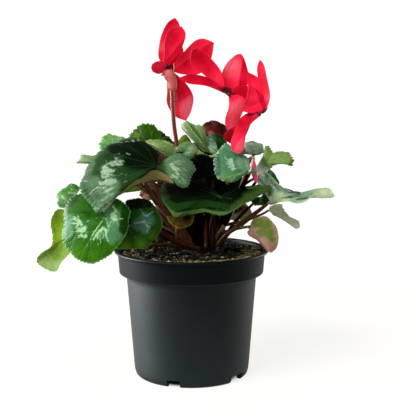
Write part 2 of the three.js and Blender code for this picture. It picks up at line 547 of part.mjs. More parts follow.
// A leaf stalk rises from its own place on the tuber, by way of the given points if there are any, to the
// base of its blade. The roots are spread over the tuber by the golden ratio.
function leafStalk(leaf, order) {
  const heart = new THREE.Vector3(TUBER.x, TUBER.y, TUBER.z);
  const via = leaf.via ? leaf.via.map(seen).reverse() : [];
  const aim = (via[0] || leaf.base).clone().sub(heart).setZ(0).normalize();
  const across = new THREE.Vector3(-aim.y, aim.x, 0);
  const root = heart.clone();
  root.addScaledVector(aim, (0.5 + 0.3 * ((order * GOLDEN) % 1)) * TUBER.radius);
  root.addScaledVector(across, (((order * GOLDEN * GOLDEN) % 1) - 0.5) * 0.7 * TUBER.radius);
  root.z += 0.3 * TUBER.height;
  if (!leaf.via)
    for (const [out, up] of [[0.12, 0.4], [0.45, 0.82]])
      via.push(root.clone().lerp(leaf.base, out).setZ(root.z + up * (leaf.base.z - root.z)));
  const taper = (share) => STALK.radius + (STALK.tip - STALK.radius) * share ** 2;
  return tube([root, ...via, leaf.base], taper, STALK.sides, leaf.via ? 6 : 5);
}

// A flower stalk ends in a calyx, which swells over the first part of the curve.
function scape(points, calyx, extra) {
  const swell = (share) => (share < calyx ? SCAPE.swell * Math.cos((0.5 * Math.PI * share) / calyx) : 0);
  return tube(points.map(seen), (share) => SCAPE.radius + swell(share), SCAPE.sides, SCAPE.steps, extra);
}

function mesh(name, geometry, colour, roughness) {
  const material = new THREE.MeshStandardMaterial({ color: colour, roughness, metalness: 0 });
  const piece = new THREE.Mesh(geometry, material);
  piece.name = name;
  return piece;
}

const leaves = [...LEAVES.map(frontLeaf), ...HEARTS.map(heartLeaf)];
const plant = new THREE.Group();
plant.add(mesh("pot", pot(), COLOURS.pot, 0.45));

let crown = union([tuberBall(0), ...leaves.map(leafStalk)]);
for (const leaf of leaves) {
  crown = crown.subtract(toSolid(plate(leaf.net(CLEARANCE), LEAF_THICKNESS + 2 * CLEARANCE)));
  crown = crown.subtract(toSolid(new THREE.OctahedronGeometry(SOCKET).translate(...leaf.base.toArray())));
  plant.add(mesh(leaf.name, plate(leaf.net(), LEAF_THICKNESS), COLOURS.leaf, 0.5));
}

FLOWERS.forEach(({ heart, size, petals, scape: stalk, calyx }, i) => {
  const petalPlates = petals.map((petal) => plate(petalNet(petal), PETAL_THICKNESS));
  const grown = toSolid(scape(stalk, calyx, CLEARANCE));
  const bloom = union([ball(seen(heart), size), ...petalPlates]).subtract(grown);
  crown = crown.subtract(grown);
  plant.add(mesh(`bloom_${i + 1}`, fromSolid(bloom), COLOURS.petal, 0.55));
  plant.add(mesh(`flower_stalk_${i + 1}`, scape(stalk, calyx, 0), COLOURS.scape, 0.5));
});

const budSwell = (share) => 0.5 + BUD.radius * Math.sin(Math.PI * (0.1 + 0.85 * share)) ** 0.8;
crown = crown.subtract(toSolid(scape(BUD.scape, 0, CLEARANCE)));
plant.add(mesh("bud", tube(BUD.body.map(seen), budSwell, 8, 8), COLOURS.bud, 0.5));
plant.add(mesh("bud_stalk", scape(BUD.scape, 0, 0), COLOURS.scape, 0.5));
// The sockets leave loose scraps of the stalks' tips, so only the body that holds the tuber is kept.
const crownBody = crown.decompose().reduce((best, body) => (body.volume() > best.volume() ? body : best));
plant.add(mesh("crown", fromSolid(crownBody), COLOURS.crown, 0.6));
plant.add(mesh("soil", soil(toSolid(tuberBall(CLEARANCE))), COLOURS.soil, 0.95));

export default plant;
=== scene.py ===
import math
import random

import bpy
import numpy as np
from bpy.props import FloatProperty, FloatVectorProperty, IntProperty, PointerProperty
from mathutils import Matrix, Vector, noise


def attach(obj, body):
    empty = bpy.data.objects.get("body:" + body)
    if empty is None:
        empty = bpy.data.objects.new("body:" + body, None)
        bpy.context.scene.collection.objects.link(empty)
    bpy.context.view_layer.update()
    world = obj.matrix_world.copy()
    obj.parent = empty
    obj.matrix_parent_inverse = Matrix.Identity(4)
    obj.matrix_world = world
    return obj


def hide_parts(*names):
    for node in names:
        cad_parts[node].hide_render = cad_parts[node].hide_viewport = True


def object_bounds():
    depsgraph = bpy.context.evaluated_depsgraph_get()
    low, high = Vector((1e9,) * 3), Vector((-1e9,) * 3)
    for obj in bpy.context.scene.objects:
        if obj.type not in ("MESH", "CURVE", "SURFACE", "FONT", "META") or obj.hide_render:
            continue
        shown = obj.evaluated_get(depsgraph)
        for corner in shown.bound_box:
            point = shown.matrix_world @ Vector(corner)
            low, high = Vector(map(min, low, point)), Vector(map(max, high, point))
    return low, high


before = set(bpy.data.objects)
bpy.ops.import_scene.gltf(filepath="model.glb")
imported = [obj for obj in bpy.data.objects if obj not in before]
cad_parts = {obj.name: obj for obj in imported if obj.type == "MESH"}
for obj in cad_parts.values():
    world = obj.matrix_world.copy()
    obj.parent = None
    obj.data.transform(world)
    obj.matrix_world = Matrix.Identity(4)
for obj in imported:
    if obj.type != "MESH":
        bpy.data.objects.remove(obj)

# A potted cyclamen: leaves, flowers, stalks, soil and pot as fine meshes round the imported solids.
# Tables are in millimetres, Blender's own lengths in metres, +Z up, as in the solids' frame.
CAD_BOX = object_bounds()

bl_info = {
    "name": "Potted cyclamen",
    "version": (1, 0, 0),
    "blender": (4, 5, 0),
    "location": "3D View > Sidebar > Cyclamen",
    "description": "Builds the leaves, flowers, soil and pot of a cyclamen round its solid model",
    "category": "Add Mesh",
}

MM = 0.001
BODY = "root"
GOLDEN = 0.618

# Outlines are given as they look from the front: across and up in the upright plane through the pot's
# axis, then the depth behind that plane. The sight line from the eye carries each point to its depth.
# Lengths are in millimetres, and the lens too.
EYE_DISTANCE = 750
EYE_HEIGHT = 233
AIM = (12.93, 0, 130.94)
LENS = 84.31

LEAVES = [
  dict(name="leaf_01", at=[-27, 163, -32], lean=[0.1, 0.6], dome=5,
    edge=[[-24.1, 172.8], [-30.3, 178.4], [-38.7, 184.4], [-51.3, 185], [-62.5, 181.9], [-72, 175],
      [-79.4, 165.8], [-83.4, 156.7], [-86.5, 148.9], [-84.9, 141.1], [-78.7, 133.3], [-74, 127.2],
      [-66.2, 130.4], [-59.1, 139], [-49, 151], [-39.1, 154.5], [-31, 160], [-24, 159.6], [-17.9, 156],
      [-10.9, 148.9], [-6.7, 146.8], [-2.5, 147.8], [0.7, 156], [3.8, 162.3], [-0.4, 169.3], [-8, 174],
      [-15, 169.4]],
    via=[[-29, 152, -24], [-24, 138, -17], [-18, 120, -8]]),
  dict(name="leaf_02", at=[-67.6, 126.4, -48], lean=[-0.12, 0.35], dome=4,
    edge=[[-65.4, 138], [-59.6, 138.8], [-52, 135.5], [-47.2, 128.8], [-48.4, 122.8], [-49, 115.5],
      [-54, 105], [-61.6, 95.6], [-68.1, 90.9], [-77.2, 87.3], [-88, 89.6], [-94.3, 95.6], [-99.8, 102.8],
      [-101, 112], [-99.9, 118.5], [-98.6, 130.9], [-93.9, 138.7], [-86.2, 142.6], [-78, 141],
      [-70.4, 138.4]],
    via=[[-62, 139, -36], [-50, 149, -27], [-38, 149, -22], [-27, 134, -14], [-13, 114, -4]]),
  dict(name="leaf_03", at=[-49, 116, -36], lean=[0.1, 0.25], dome=3,
    edge=[[-51.4, 136.6], [-46.8, 138.3], [-42.1, 139.1], [-37.5, 138.8], [-32.8, 137.3], [-26.7, 131],
      [-23.4, 124], [-22.2, 118.5], [-23.8, 112.7], [-28.2, 107], [-31.3, 103], [-34.6, 99.1], [-44.1, 98.9],
      [-57.3, 98.5], [-62.7, 102.8], [-62, 112], [-60, 119]],
    via=[[-36, 129, -26], [-25, 128, -17], [-16, 116, -8]]),
  dict(name="leaf_04", at=[-98, 108, -28], lean=[0.15, 0.25], dome=-3,
    edge=[[-99, 131], [-105, 129.5], [-109.6, 121.1], [-108.4, 110], [-109.8, 100.8], [-117.9, 94.9],
      [-121.2, 89.3], [-114.9, 83.6], [-106.6, 81], [-102, 88.3], [-96.5, 93.6], [-90, 101]],
    via=[[-84, 104, -25], [-66, 101.5, -20], [-44, 101, -11], [-20, 102, -4]]),
  dict(name="leaf_05", at=[-90, 140, -24], lean=[0.1, 0.3],
    edge=[[-85, 147], [-92.4, 150.7], [-98, 147.2], [-103.4, 143.2], [-104.8, 139.3], [-103, 132.2],
      [-96, 131]],
    via=[[-80, 137, -18], [-62, 131, -12], [-34, 120, -5]]),
  dict(name="leaf_06", at=[-70, 166, 26], lean=[0, 0.4],
    edge=[[-70, 174], [-77, 172], [-85.5, 173], [-85.2, 170.4], [-89.1, 166.2], [-84.4, 166.2],
      [-79.9, 165.5], [-74, 160]]),
  dict(name="leaf_07", at=[-56, 175, 10], lean=[0, 0.5],
    edge=[[-48, 185], [-54.6, 186.8], [-59.5, 187.8], [-63, 189.2], [-67.2, 187], [-70, 184], [-71.3, 178.3],
      [-66, 170]]),
  dict(name="leaf_08", at=[-30, 177, 26], lean=[0, 0.35], dome=3,
    edge=[[-13, 178], [-14.1, 183.6], [-19, 188.5], [-26.7, 193.4], [-28.8, 196.2], [-37.8, 196.6],
      [-44.8, 191.6], [-48.3, 186.8], [-50, 178], [-42, 170]]),
  dict(name="leaf_09", at=[-14, 171, -3], lean=[0, 0.4],
    edge=[[-16.4, 169.4], [-22.6, 173.6], [-28.8, 178], [-35.2, 182], [-33.8, 184.2], [-28.4, 184],
      [-24, 184.4], [-18, 182.8], [-14.2, 181], [-10.6, 176.5], [-11.3, 172]],
    via=[[-13, 165, 5], [-9, 155, 15], [0, 125, 12]]),
  dict(name="leaf_10", at=[-5, 174, -16], lean=[0, 0.5],
    edge=[[-11, 174.6], [-12, 177.6], [-9.3, 180.7], [-5.6, 182.5], [-2, 183.5], [1.9, 181.4], [5.7, 177.6],
      [4.9, 174.1], [0.3, 169.5], [-4, 170.7], [-7.8, 172.2]],
    via=[[-6.5, 165, -9], [-9, 154, 9], [0, 125, 10]]),
  dict(name="leaf_11", at=[16, 173.5, 0], lean=[0, 0], dome=2.5,
    edge=[[8.4, 175.6], [2.6, 182], [-3.4, 188], [-8, 194.3], [-6.6, 197], [-4.3, 198.8], [-0.5, 197.2],
      [2, 195.8], [8.3, 195.1], [9.1, 190.5], [9.8, 185.6], [13, 179]],
    via=[[17, 150, 2], [15.5, 120, 0]]),
  dict(name="leaf_12", at=[25, 184, 28], lean=[0, 0.3], dome=3, under=1,
    edge=[[15, 184], [5.5, 190.8], [10, 196.3], [16.4, 198.8], [24.1, 196.3], [28.5, 191.5], [29, 186]]),
  dict(name="leaf_13", at=[22, 177, 18], lean=[0, 0.2],
    edge=[[13, 177], [11.5, 182], [13, 187], [18, 189], [24, 187], [27.5, 182], [27, 177.5]],
    via=[[25, 150, 22], [20, 115, 18]]),
  dict(name="leaf_14", at=[43.4, 160.2, -38], lean=[0.05, 0.5], dome=3,
    edge=[[45.6, 160.4], [45.8, 162.5], [44.6, 166.4], [43.3, 170.7], [39.8, 173.4], [34.6, 174],
      [31.2, 172.8], [29.5, 174.6], [27, 181.8], [22.6, 178.6], [19.2, 174.2], [17.1, 169], [17.1, 163],
      [18.4, 156.9], [22.4, 152.7], [27.8, 151.2], [31.4, 150.8], [34.8, 152.4], [39, 155.8], [42, 157.6]],
    via=[[43.6, 155.5, -31], [41, 149.5, -17], [37.5, 142.5, -4], [27, 120, 2]]),
  dict(name="leaf_15", at=[49, 172.5, 18], lean=[0, 0.5],
    edge=[[44.6, 172.6], [41.2, 176], [41, 179.6], [42.3, 182.5], [48.3, 182.9], [52.2, 181.8], [55.4, 180.3],
      [56.2, 177], [55.8, 174.6], [52, 172.4]]),
  dict(name="leaf_16", at=[57.6, 165.4, -6], lean=[-0.1, 0.35],
    edge=[[56.2, 160.6], [54.6, 163], [53.8, 168.6], [55.2, 172], [56, 176], [58.4, 180.4], [62.1, 176.8],
      [64, 174.6], [67.7, 175.3], [70.8, 175.5], [74.4, 174.6], [77.2, 173.4], [79, 170.2], [80.2, 166.9],
      [78.7, 163.9], [74.2, 165.2], [68.2, 165.3], [64.1, 164], [61.2, 161], [58.3, 159.2]],
    via=[[56, 160, 2], [44, 143, 8], [26, 118, 8]]),
  dict(name="leaf_17", at=[60, 159, 30], lean=[0, 0.3], dome=1,
    edge=[[57, 163], [63, 159.5], [66, 155], [68.5, 150], [64, 149], [57, 153]]),
  dict(name="leaf_18", at=[61, 136.6, -14], lean=[-0.25, 0.3],
    edge=[[60.5, 146], [56.3, 150], [51.3, 152], [50.4, 157.8], [56.2, 160.3], [60.2, 157.6], [64, 153.6],
      [68.4, 149.2], [76.6, 143.4], [80.2, 144], [85.4, 143], [84.6, 141.4], [77.2, 140.7], [78.8, 138.2],
      [74.5, 136.3], [68.5, 135.5], [62.4, 133.6], [58.6, 134.4]],
    via=[[58, 132.8, -12], [45, 122.1, -16], [36.5, 115.7, -16], [26, 109, -12]]),
  dict(name="leaf_19", at=[22, 139.5, -28], lean=[0, 2.4], dome=3,
    edge=[[15, 147], [5, 151], [-8, 154], [-18, 154.5], [-23, 150], [-23.5, 143], [-22.6, 136],
      [-16.6, 128.2], [-12.4, 124.9], [-3.5, 127], [8.5, 128.8], [18.2, 126.5], [23.8, 125.4], [28.8, 125.8],
      [33.7, 128.6], [43, 135], [52.1, 140.7, -5], [61.3, 146.4, -16], [59.2, 148.7, -18], [49, 147, -10],
      [36, 144.5, -5]],
    via=[[20, 133, -18], [15, 115, -6]]),
  dict(name="leaf_20", at=[-9, 124, -40], lean=[0, 0.3], under=1,
    edge=[[-19, 124.2], [-17.6, 119.8], [-13.6, 116.7], [-10.7, 114.9], [-5.3, 115.2], [-1.1, 117.3],
      [1.6, 120.4], [2.5, 125.6]],
    via=[[-10, 119, -34], [-11, 110, -22], [-5, 102, -8]]),
  dict(name="leaf_21", at=[46, 115, -28], lean=[0, 0.2], dome=3, under=1,
    edge=[[46.4, 119.2], [49.2, 122.7], [56.9, 124.6], [60.5, 122.8], [66.8, 114.9], [68.1, 106],
      [66.8, 99.9], [62.9, 95.5], [59.3, 97.1], [53.1, 103.5], [45.3, 108.6], [43.4, 112]],
    via=[[42.2, 116, -22], [31, 113.6, -8], [20, 109, -1]]),
  dict(name="leaf_22", at=[60, 129, 4], lean=[0, 0.3],
    edge=[[61.2, 132.1], [66.1, 133.9], [71.1, 133.5], [73.5, 128], [78.1, 122.6], [84.8, 119.6], [83.5, 114],
      [79.5, 116.2], [74.6, 119.6], [69.6, 122.6], [64, 125]],
    via=[[55, 126, 3], [42.2, 121, 0], [31, 118.5, -1], [20, 114, 1]]),
  dict(name="leaf_23", at=[54, 139, 12], lean=[0, 1.5], dome=1,
    edge=[[49, 138.5], [46.5, 135.7], [50, 132.9], [54, 132.8], [60.5, 135], [62, 140], [57, 142.5]],
    via=[[50, 136, 10], [34, 120, 8]]),
  dict(name="leaf_24", at=[36, 129, 26], lean=[0, 2], dome=1, under=1,
    edge=[[34, 127.2, 6], [39.4, 127.6, -4], [44.7, 128.8, 0], [42.5, 131.8, 4], [37.5, 132.6, 8]],
    via=[[33, 127, 24], [25.3, 122.1, 14]]),
  dict(name="leaf_25", at=[40, 142, 24], lean=[0, 2], dome=1, under=1,
    edge=[[30, 140, 4], [29.5, 143, 4], [36, 145.5, 8], [46, 148, 8], [56, 148.5, 0], [58, 145, -4],
      [50, 141, -4]],
    via=[[36, 138, 20], [24, 118, 12]]),
  dict(name="leaf_26", at=[-27, 149, 20], lean=[0, 0.5], under=1,
    edge=[[-36, 152], [-38.2, 146.5], [-40.4, 141.6], [-39.8, 139.2], [-34, 137], [-29, 137], [-22, 143],
      [-19, 151], [-24, 157]]),
  dict(name="leaf_27", at=[62, 135.8, -12], lean=[0, 0], dome=0.5,
    edge=[[68, 138.4, 8], [77, 139.2, 12], [85.7, 140, 16], [94.3, 142.9, 16], [97.8, 144.8, 15],
      [102.9, 146, 12], [107.9, 146.5, 6], [109.9, 144.2, 2], [111.9, 141, -2], [110, 138.8, -10],
      [104.8, 139.8, -14], [97.8, 139.7, -18], [94.4, 139, -20], [89.2, 136.4, -21], [82.3, 136.2, -19],
      [70.3, 135.2, -11]],
    via=[[58, 133.5, -11], [45, 124, -11], [33, 115, -8]]),
  dict(name="leaf_28", at=[9, 154, -8], lean=[0, 0.15],
    edge=[[3, 154], [-3, 158], [-4, 164], [-1, 170], [6, 173], [13, 172], [19, 168], [22, 161], [20, 155],
      [15, 151.5]],
    via=[[10, 150, 3], [11, 125, 1]]),
]

# Leaves at the back and under the front ones, placed round the plant: where the stalk joins the blade
# (millimetres), the way the tip points, how far it droops, the turn about its midrib, and its reach.
HEARTS = [
  dict(name="leaf_29", at=[66, 50, 139], heading=25, droop=8, turn=8, size=21),
  dict(name="leaf_30", at=[34, 60, 171], heading=72, droop=14, turn=-10, size=24),
  dict(name="leaf_31", at=[2, 80, 152], heading=95, droop=28, turn=6, size=31),
  dict(name="leaf_32", at=[-28, 60, 171.5], heading=118, droop=20, turn=-8, size=27),
  dict(name="leaf_33", at=[-56, 56, 160], heading=145, droop=18, turn=10, size=29),
  dict(name="leaf_34", at=[-55, 40, 117], heading=150, droop=35, turn=-6, size=21),
  dict(name="leaf_35", at=[56, 30, 113], heading=10, droop=50, turn=8, size=13),
  dict(name="leaf_36", at=[-14, 66, 123], heading=104, droop=44, turn=-8, size=20),
  dict(name="leaf_37", at=[32, 63, 126], heading=66, droop=50, turn=4, size=19),
]

# Each flower: its petals as two edges from the base to the tip, with soft marks (across, up, reach, change)
# and creases that paint light and shade on them, then its round parts and the curve of its stalk.
FLOWERS = [
  dict(
    petals=[
      dict(left=[[-20, 240, 9], [-24.6, 247, 12], [-23, 261, 14], [-18, 272, 15]],
        right=[[-16, 241, 11], [-13, 250, 14], [-9, 262, 15], [-8.7, 271, 15]], tip=[-12, 276.3, 15],
        tones=[(-13, 271, 6, -0.04), (-23, 254, 5, 0.3), (-20, 264, 5, 0.1)]),
      dict(left=[[-21.4, 240, 7], [-20.4, 249, 4], [-19.8, 260, 3], [-16, 268, 5]],
        right=[[-18, 239.4, 7], [-12, 247, 7], [-6.6, 254.6, 8], [-4, 264, 8]], tip=[-7, 269.9, 7],
        tones=[(-18.5, 256, 4, 0.02), (-8, 265, 5, 0.02), (-13, 262, 7, -0.18)],
        folds=[dict(start=(-21, 241.5), end=(-5, 261), tone=(0.04, -0.14), bend=0.3)]),
      dict(left=[[-17.5, 241, 11], [-16, 250, 15], [-12, 256, 17]],
        right=[[-14, 237, 12], [-8.5, 243, 15], [-5.7, 250.6, 17]], tip=[-7.5, 257.4, 18],
        tones=[(-14, 243, 4, -0.14), (-8, 251, 5, 0.06)]),
      dict(left=[[-15, 240, 10], [-5.6, 250.5, 13], [3, 259, 14], [10, 260.6, 13]],
        right=[[-14, 236, 9], [-5.3, 233.8, 10], [6.8, 234.6, 12], [15, 245, 14]], tip=[17.4, 257.6, 12],
        tones=[(-7, 239, 6, -0.04), (3, 238, 6, 0.12), (11, 252, 6, -0.06), (-6, 246, 4, -0.1)],
        folds=[dict(start=(-8, 241), end=(14, 257), tone=(0.1, -0.08), bend=0.3)]),
      dict(left=[[-18.5, 238.4, 10.5], [-18.2, 222, 14], [-18.5, 212, 15], [-13, 202.5, 14]],
        right=[[-15.5, 237.6, 10.5], [-4, 227, 15], [1.6, 217, 15], [0, 206, 13]], tip=[-4, 198.3, 12],
        tones=[(-16, 212, 8, -0.2), (-3, 208, 7, 0.46), (-6, 224, 8, -0.1)],
        folds=[
          dict(start=(-8.6, 199), end=(-8.8, 219), tone=(-0.1, 0.14), bend=0.4),
          dict(start=(3, 220.2), end=(-9.6, 213), tone=(0.02, -0.12), bend=0.2),
        ]),
      dict(left=[[-18.4, 242.4, 7.5], [-24.4, 243.8, 0], [-29, 242, -7]],
        right=[[-19.2, 236.4, 7.5], [-24.6, 234.2, 0], [-29, 235.8, -7]], tip=[-30.4, 238.9, -9],
        tones=[(-27, 239, 6, 0.05)]),
    ],
    tubes=[
      dict(
        line=[[-14.6, 221.3, 3], [-14.2, 225, 2.4], [-14.8, 229.6, 2], [-16.8, 233.4, 2.2], [-19, 235.4, 3]],
        radii=[2.2, 3.4, 3.6, 3.6, 3.9, 4.3, 4.3, 3.4], tone=0.14),
      dict(line=[[-19.6, 238.4, 0.6], [-17.2, 239.4, -0.2], [-14.6, 241.4, 0.8]],
        radii=[0.5, 1.1, 1.5, 1.2, 0.4], tone=0.95),
      dict(line=[[-18, 235.4, 3.6], [-17.6, 238, 6.6], [-17, 239.4, 10.8]], radii=[2.6, 2.6, 2.4, 1.8],
        tone=0.7),
      dict(line=[[-13.4, 242.4, -1.6], [-12.9, 239, -2], [-13.2, 235, -1.6]], radii=[0.25, 0.55, 0.4],
        tone=0),
      dict(line=[[-19.4, 235.6, 1], [-21.2, 234.2, 0.2], [-22.6, 232.6, -0.4]], radii=[1.5, 1, 0.3],
        tone=0.4),
    ],
    scape=[[-17.2, 236.2, 6.3], [-14.6, 228, 3], [-14.6, 221, 3], [-14, 207, 5], [-13, 194, 8],
      [-11, 180.5, 11], [-8, 160, 17], [-4, 130, 16], [5.5, 101, 6]]),
  dict(
    petals=[
      dict(left=[[23, 222.5, -12], [9.3, 234, -11], [0.3, 241, -9], [-0.5, 247, -9]],
        right=[[26, 223, -12], [23, 236, -9], [14, 247, -8], [6, 253, -8]], tip=[0.8, 252.4, -9],
        tones=[(4, 247, 8, -0.2), (12, 241, 6, -0.12), (19, 230, 6, 0.14), (1, 243, 3, 0.1)]),
      dict(left=[[25.5, 219.5, -11], [12, 225, -17], [-2, 227, -18]],
        right=[[25.5, 222.5, -11], [14, 231, -16], [0, 233.8, -17]], tip=[-9.8, 231.1, -17],
        tones=[(2, 231, 9, -0.2), (14, 227, 6, -0.1)]),
      dict(left=[[25.5, 222.5, -8], [23.6, 233, -10], [27, 241.5, -8], [34, 248.3, -4]],
        right=[[36, 220.4, -7], [45.2, 228.4, -3], [43.4, 236.6, -2], [41, 244.4, -2]], tip=[38.4, 249.2, -3],
        tones=[(31, 240, 9, 0.32), (27, 228, 4, -0.06), (41, 232, 4, 0.1)],
        folds=[dict(start=(35.4, 220), end=(38.6, 240), tone=(0.08, -0.24), bend=0.4)]),
      dict(left=[[30, 219, -9], [36, 216.6, -9], [43, 214.6, -8]],
        right=[[30, 222, -8], [37, 225, -6], [44.6, 224.6, -4]], tip=[45.6, 219.4, -5],
        tones=[(37, 220, 8, -0.26)]),
      dict(left=[[28.5, 219, -12], [29, 210, -14], [26.2, 200, -12], [27, 192.6, -10]],
        right=[[34, 219.5, -11], [42.6, 213.5, -10], [38.5, 203, -9], [34.5, 193, -8]], tip=[31.4, 189.2, -9],
        tones=[(34, 208, 9, 0.36), (31, 194, 6, 0.28), (31, 217, 3, -0.1)]),
    ],
    tubes=[
      dict(line=[[20.6, 224.2, -13.2], [24.6, 221.4, -12.4], [28, 218.6, -13], [30.6, 216.4, -13.6]],
        radii=[0.2, 0.6, 0.9, 0.8, 0.2], tone=0.95),
      dict(line=[[24, 224.4, -9], [25.8, 223, -10], [28.2, 221.2, -10], [31.4, 219.6, -9.5]],
        radii=[0.4, 1.1, 1.4, 1.1, 0.4], tone=0.9),
      dict(line=[[26.8, 221.2, -5], [27.8, 221, -8], [28.8, 220.8, -10.6]], radii=[1.3, 1.8, 1.2], tone=0.7),
    ],
    scape=[[26.8, 221.2, -5.2], [28.5, 224, 4], [30.5, 218, 8], [31.8, 205, 9], [32.4, 190, 8],
      [33.4, 178, 7], [30, 155, 13], [18, 122, 14], [9, 101, 10]]),
  dict(
    petals=[
      dict(left=[[50, 203.6, -27], [39.4, 206.6, -28], [42.6, 216, -26]],
        right=[[54, 205.5, -25], [57, 211, -23], [51.7, 221, -22]], tip=[44.6, 227.2, -23],
        tones=[(47, 215, 7, 0.1), (43, 209, 3, 0.1)],
        folds=[dict(start=(55.4, 206), end=(48, 226), tone=(0.02, -0.2), bend=0.2)]),
      dict(left=[[50, 206, -21], [44.4, 216, -18], [43.4, 226, -15]],
        right=[[58.4, 207, -21], [58.8, 217, -18], [56.4, 225.4, -16], [51.6, 231.2, -15]],
        tip=[43.4, 235.6, -14],
        tones=[(56, 214, 5, -0.26), (48, 225, 5, 0.12)]),
      dict(left=[[54, 206, -23], [56, 216, -17], [51.5, 230, -15], [50.4, 239, -16]],
        right=[[57, 205.5, -24], [60.2, 217, -24], [57.6, 232, -22], [55.4, 241, -20]],
        tip=[52.4, 244.9, -18],
        tones=[(59, 216, 5, 0.2), (53, 240, 3, 0.12), (55, 228, 4, -0.08)]),
      dict(left=[[50.5, 205.4, -26], [39, 201.4, -30], [33, 189, -38], [30.6, 181.4, -40], [32, 175.4, -41]],
        right=[[54, 203, -25], [45.6, 196, -31], [42.4, 190, -37], [41.2, 182, -39], [39.8, 175.4, -40]],
        tip=[36.6, 173.2, -41],
        tones=[(36.5, 180, 9, 0.24), (37, 197, 3.4, -0.26), (45, 200, 4, -0.06)],
        folds=[dict(start=(37.4, 184), end=(48, 203), tone=(-0.1, 0.06), bend=0.3)]),
      dict(left=[[51.5, 205, -23], [36, 196, -21], [26, 189, -20]],
        right=[[52.5, 203, -23], [40, 190, -20], [32, 181.5, -19]], tip=[25.6, 183.6, -20],
        tones=[(29, 187, 9, -0.4)]),
    ],
    tubes=[
      dict(line=[[50.6, 203.8, -27.2], [53.6, 204.6, -26.8], [56, 205.7, -25.8], [58, 207.2, -24.2]],
        radii=[0.3, 0.7, 1.1, 0.9, 0.3], tone=0.95),
      dict(line=[[41.4, 203.2, -29.6], [43.6, 203.6, -29.2], [46, 203.6, -28.4], [49, 203.8, -27.4]],
        radii=[0.3, 0.9, 0.5, 0.3], tone=0.95),
    ],
    scape=[[52.9, 206.2, -21.4], [51, 210, -12], [47.5, 204, -9], [42, 191, -8], [36.5, 178, -4],
      [30, 158, 4], [23, 130, 6], [12.5, 101, 5]]),
]

BUD = dict(
  scape=[[48, 166.4, -31], [48.4, 169.4, -30], [46.8, 170.2, -26], [43.5, 163, -16], [38, 146, 2],
          [29, 122, -3], [13, 101, 0]],
  body=[[48, 167.4, -31], [48.6, 160, -31], [49.6, 155, -31], [50.6, 150.5, -31]],
  radius=1.9,
)


# What each kind of leaf looks like: upper face, its darkest parts, margin, haze round the silver marks, the
# marks, the veins, and the underside.
LOOKS = {
    "dark": ("#24481c", "#041004", "#4c7040", "#5e865c", "#b2ceae", "#6f9470", "#a4925a"),
    "bright": ("#2c6c0c", "#0c3a04", "#4c8a10", "#5a9664", "#b8e8ac", "#86c47c", "#7f9440"),
    "deep": ("#1a4a0c", "#041502", "#4c7c14", "#44705a", "#8cb0a6", "#6c9450", "#5f6e36"),
    "olive": ("#94c028", "#6c9418", "#a8c878", "#86aa3c", "#b4cc80", "#9cbc54", "#97a656"),
    "fresh": ("#3c8424", "#246c18", "#549a2c", "#6aa458", "#bce0a8", "#c8e4a0", "#8a9c50"),
    "grey": ("#5c8450", "#30582c", "#7c9c64", "#84a070", "#b0caa4", "#a8c094", "#8f9c70"),
    "moss": ("#2a5404", "#101e02", "#42780a", "#5c7e14", "#84a63c", "#94a83a", "#6d7e34"),
    "pale": ("#64884a", "#3a5c30", "#8cac64", "#7c9c58", "#bcd2a2", "#c8dca8", "#8f9c58"),
    "lime": ("#86aa58", "#43702c", "#78a040", "#90b470", "#bcd2a0", "#b4cc8c", "#9aa868"),
    "mint": ("#3e7a50", "#1a4c34", "#729c5a", "#80aa86", "#aed2b4", "#90bc9c", "#a0b070"),
    # The black look is painted shade: leaves deep in the crown's shade are given a near-black face and
    # underside.
    "black": ("#031203", "#010401", "#5a803c", "#163a0e", "#4f7a4a", "#3c6a38", "#4f5a30"),
    "steel": ("#84a586", "#3a5234", "#c8dcaa", "#a2be9c", "#c4dabc", "#c0d4b0", "#a3b884"),
    "dusty": ("#c8ccaa", "#7e6c48", "#dce0c4", "#ccd0ac", "#b8c49c", "#bcc8a0", "#8f9468"),
    "sage": ("#6c8c48", "#3a5a24", "#94ac68", "#7ca058", "#acc890", "#b0c888", "#8f9468"),
    "brown": ("#3a3208", "#0c0a02", "#8a7c30", "#3e3e14", "#6a6a2a", "#6a6a1c", "#46380c"),
    "maroon": ("#24441a", "#2c0606", "#7a2c28", "#bc6660", "#7a3a38", "#8a3c38", "#60140e"),
    "rosy": ("#4c7410", "#70803c", "#a87870", "#62801c", "#c4b8a0", "#b8b08c", "#c09680"),
    "russet": ("#4a5a24", "#481018", "#8a5a44", "#a8705a", "#a8705a", "#b08068", "#7c4034"),
}
# Millimetres between the main veins at the margin.
VEIN_SPACING = 20
# Streaks in the marks: how many go round a leaf, and how many lie between its stalk and its margin.
STREAKS_ROUND = 64
STREAKS_OUT = 3.5
# How strongly veins show and how much a leaf shines, where a look departs from what is common.
COMMON_VEINS = 0.25
COMMON_SHINE = 0.18
VEIN_STRENGTH = {"fresh": 0.5, "pale": 0.6, "moss": 0.3, "grey": 0.35, "dark": 0.1, "deep": 0.12,
                 "mint": 0.15, "maroon": 0.3, "black": 0.1, "steel": 0.2, "bright": 0.12}
LEAF_SHINE = {"black": 0.03, "dark": 0.06, "bright": 0.08, "moss": 0.08, "deep": 0.08, "brown": 0.06,
              "maroon": 0.15}
# Forks of the veins: how far each stands apart at the end, in shares of the space, and where it starts.
VEIN_FORKS = ((0.25, 0.4), (0.115, 0.68))
VEIN_END = 1.02

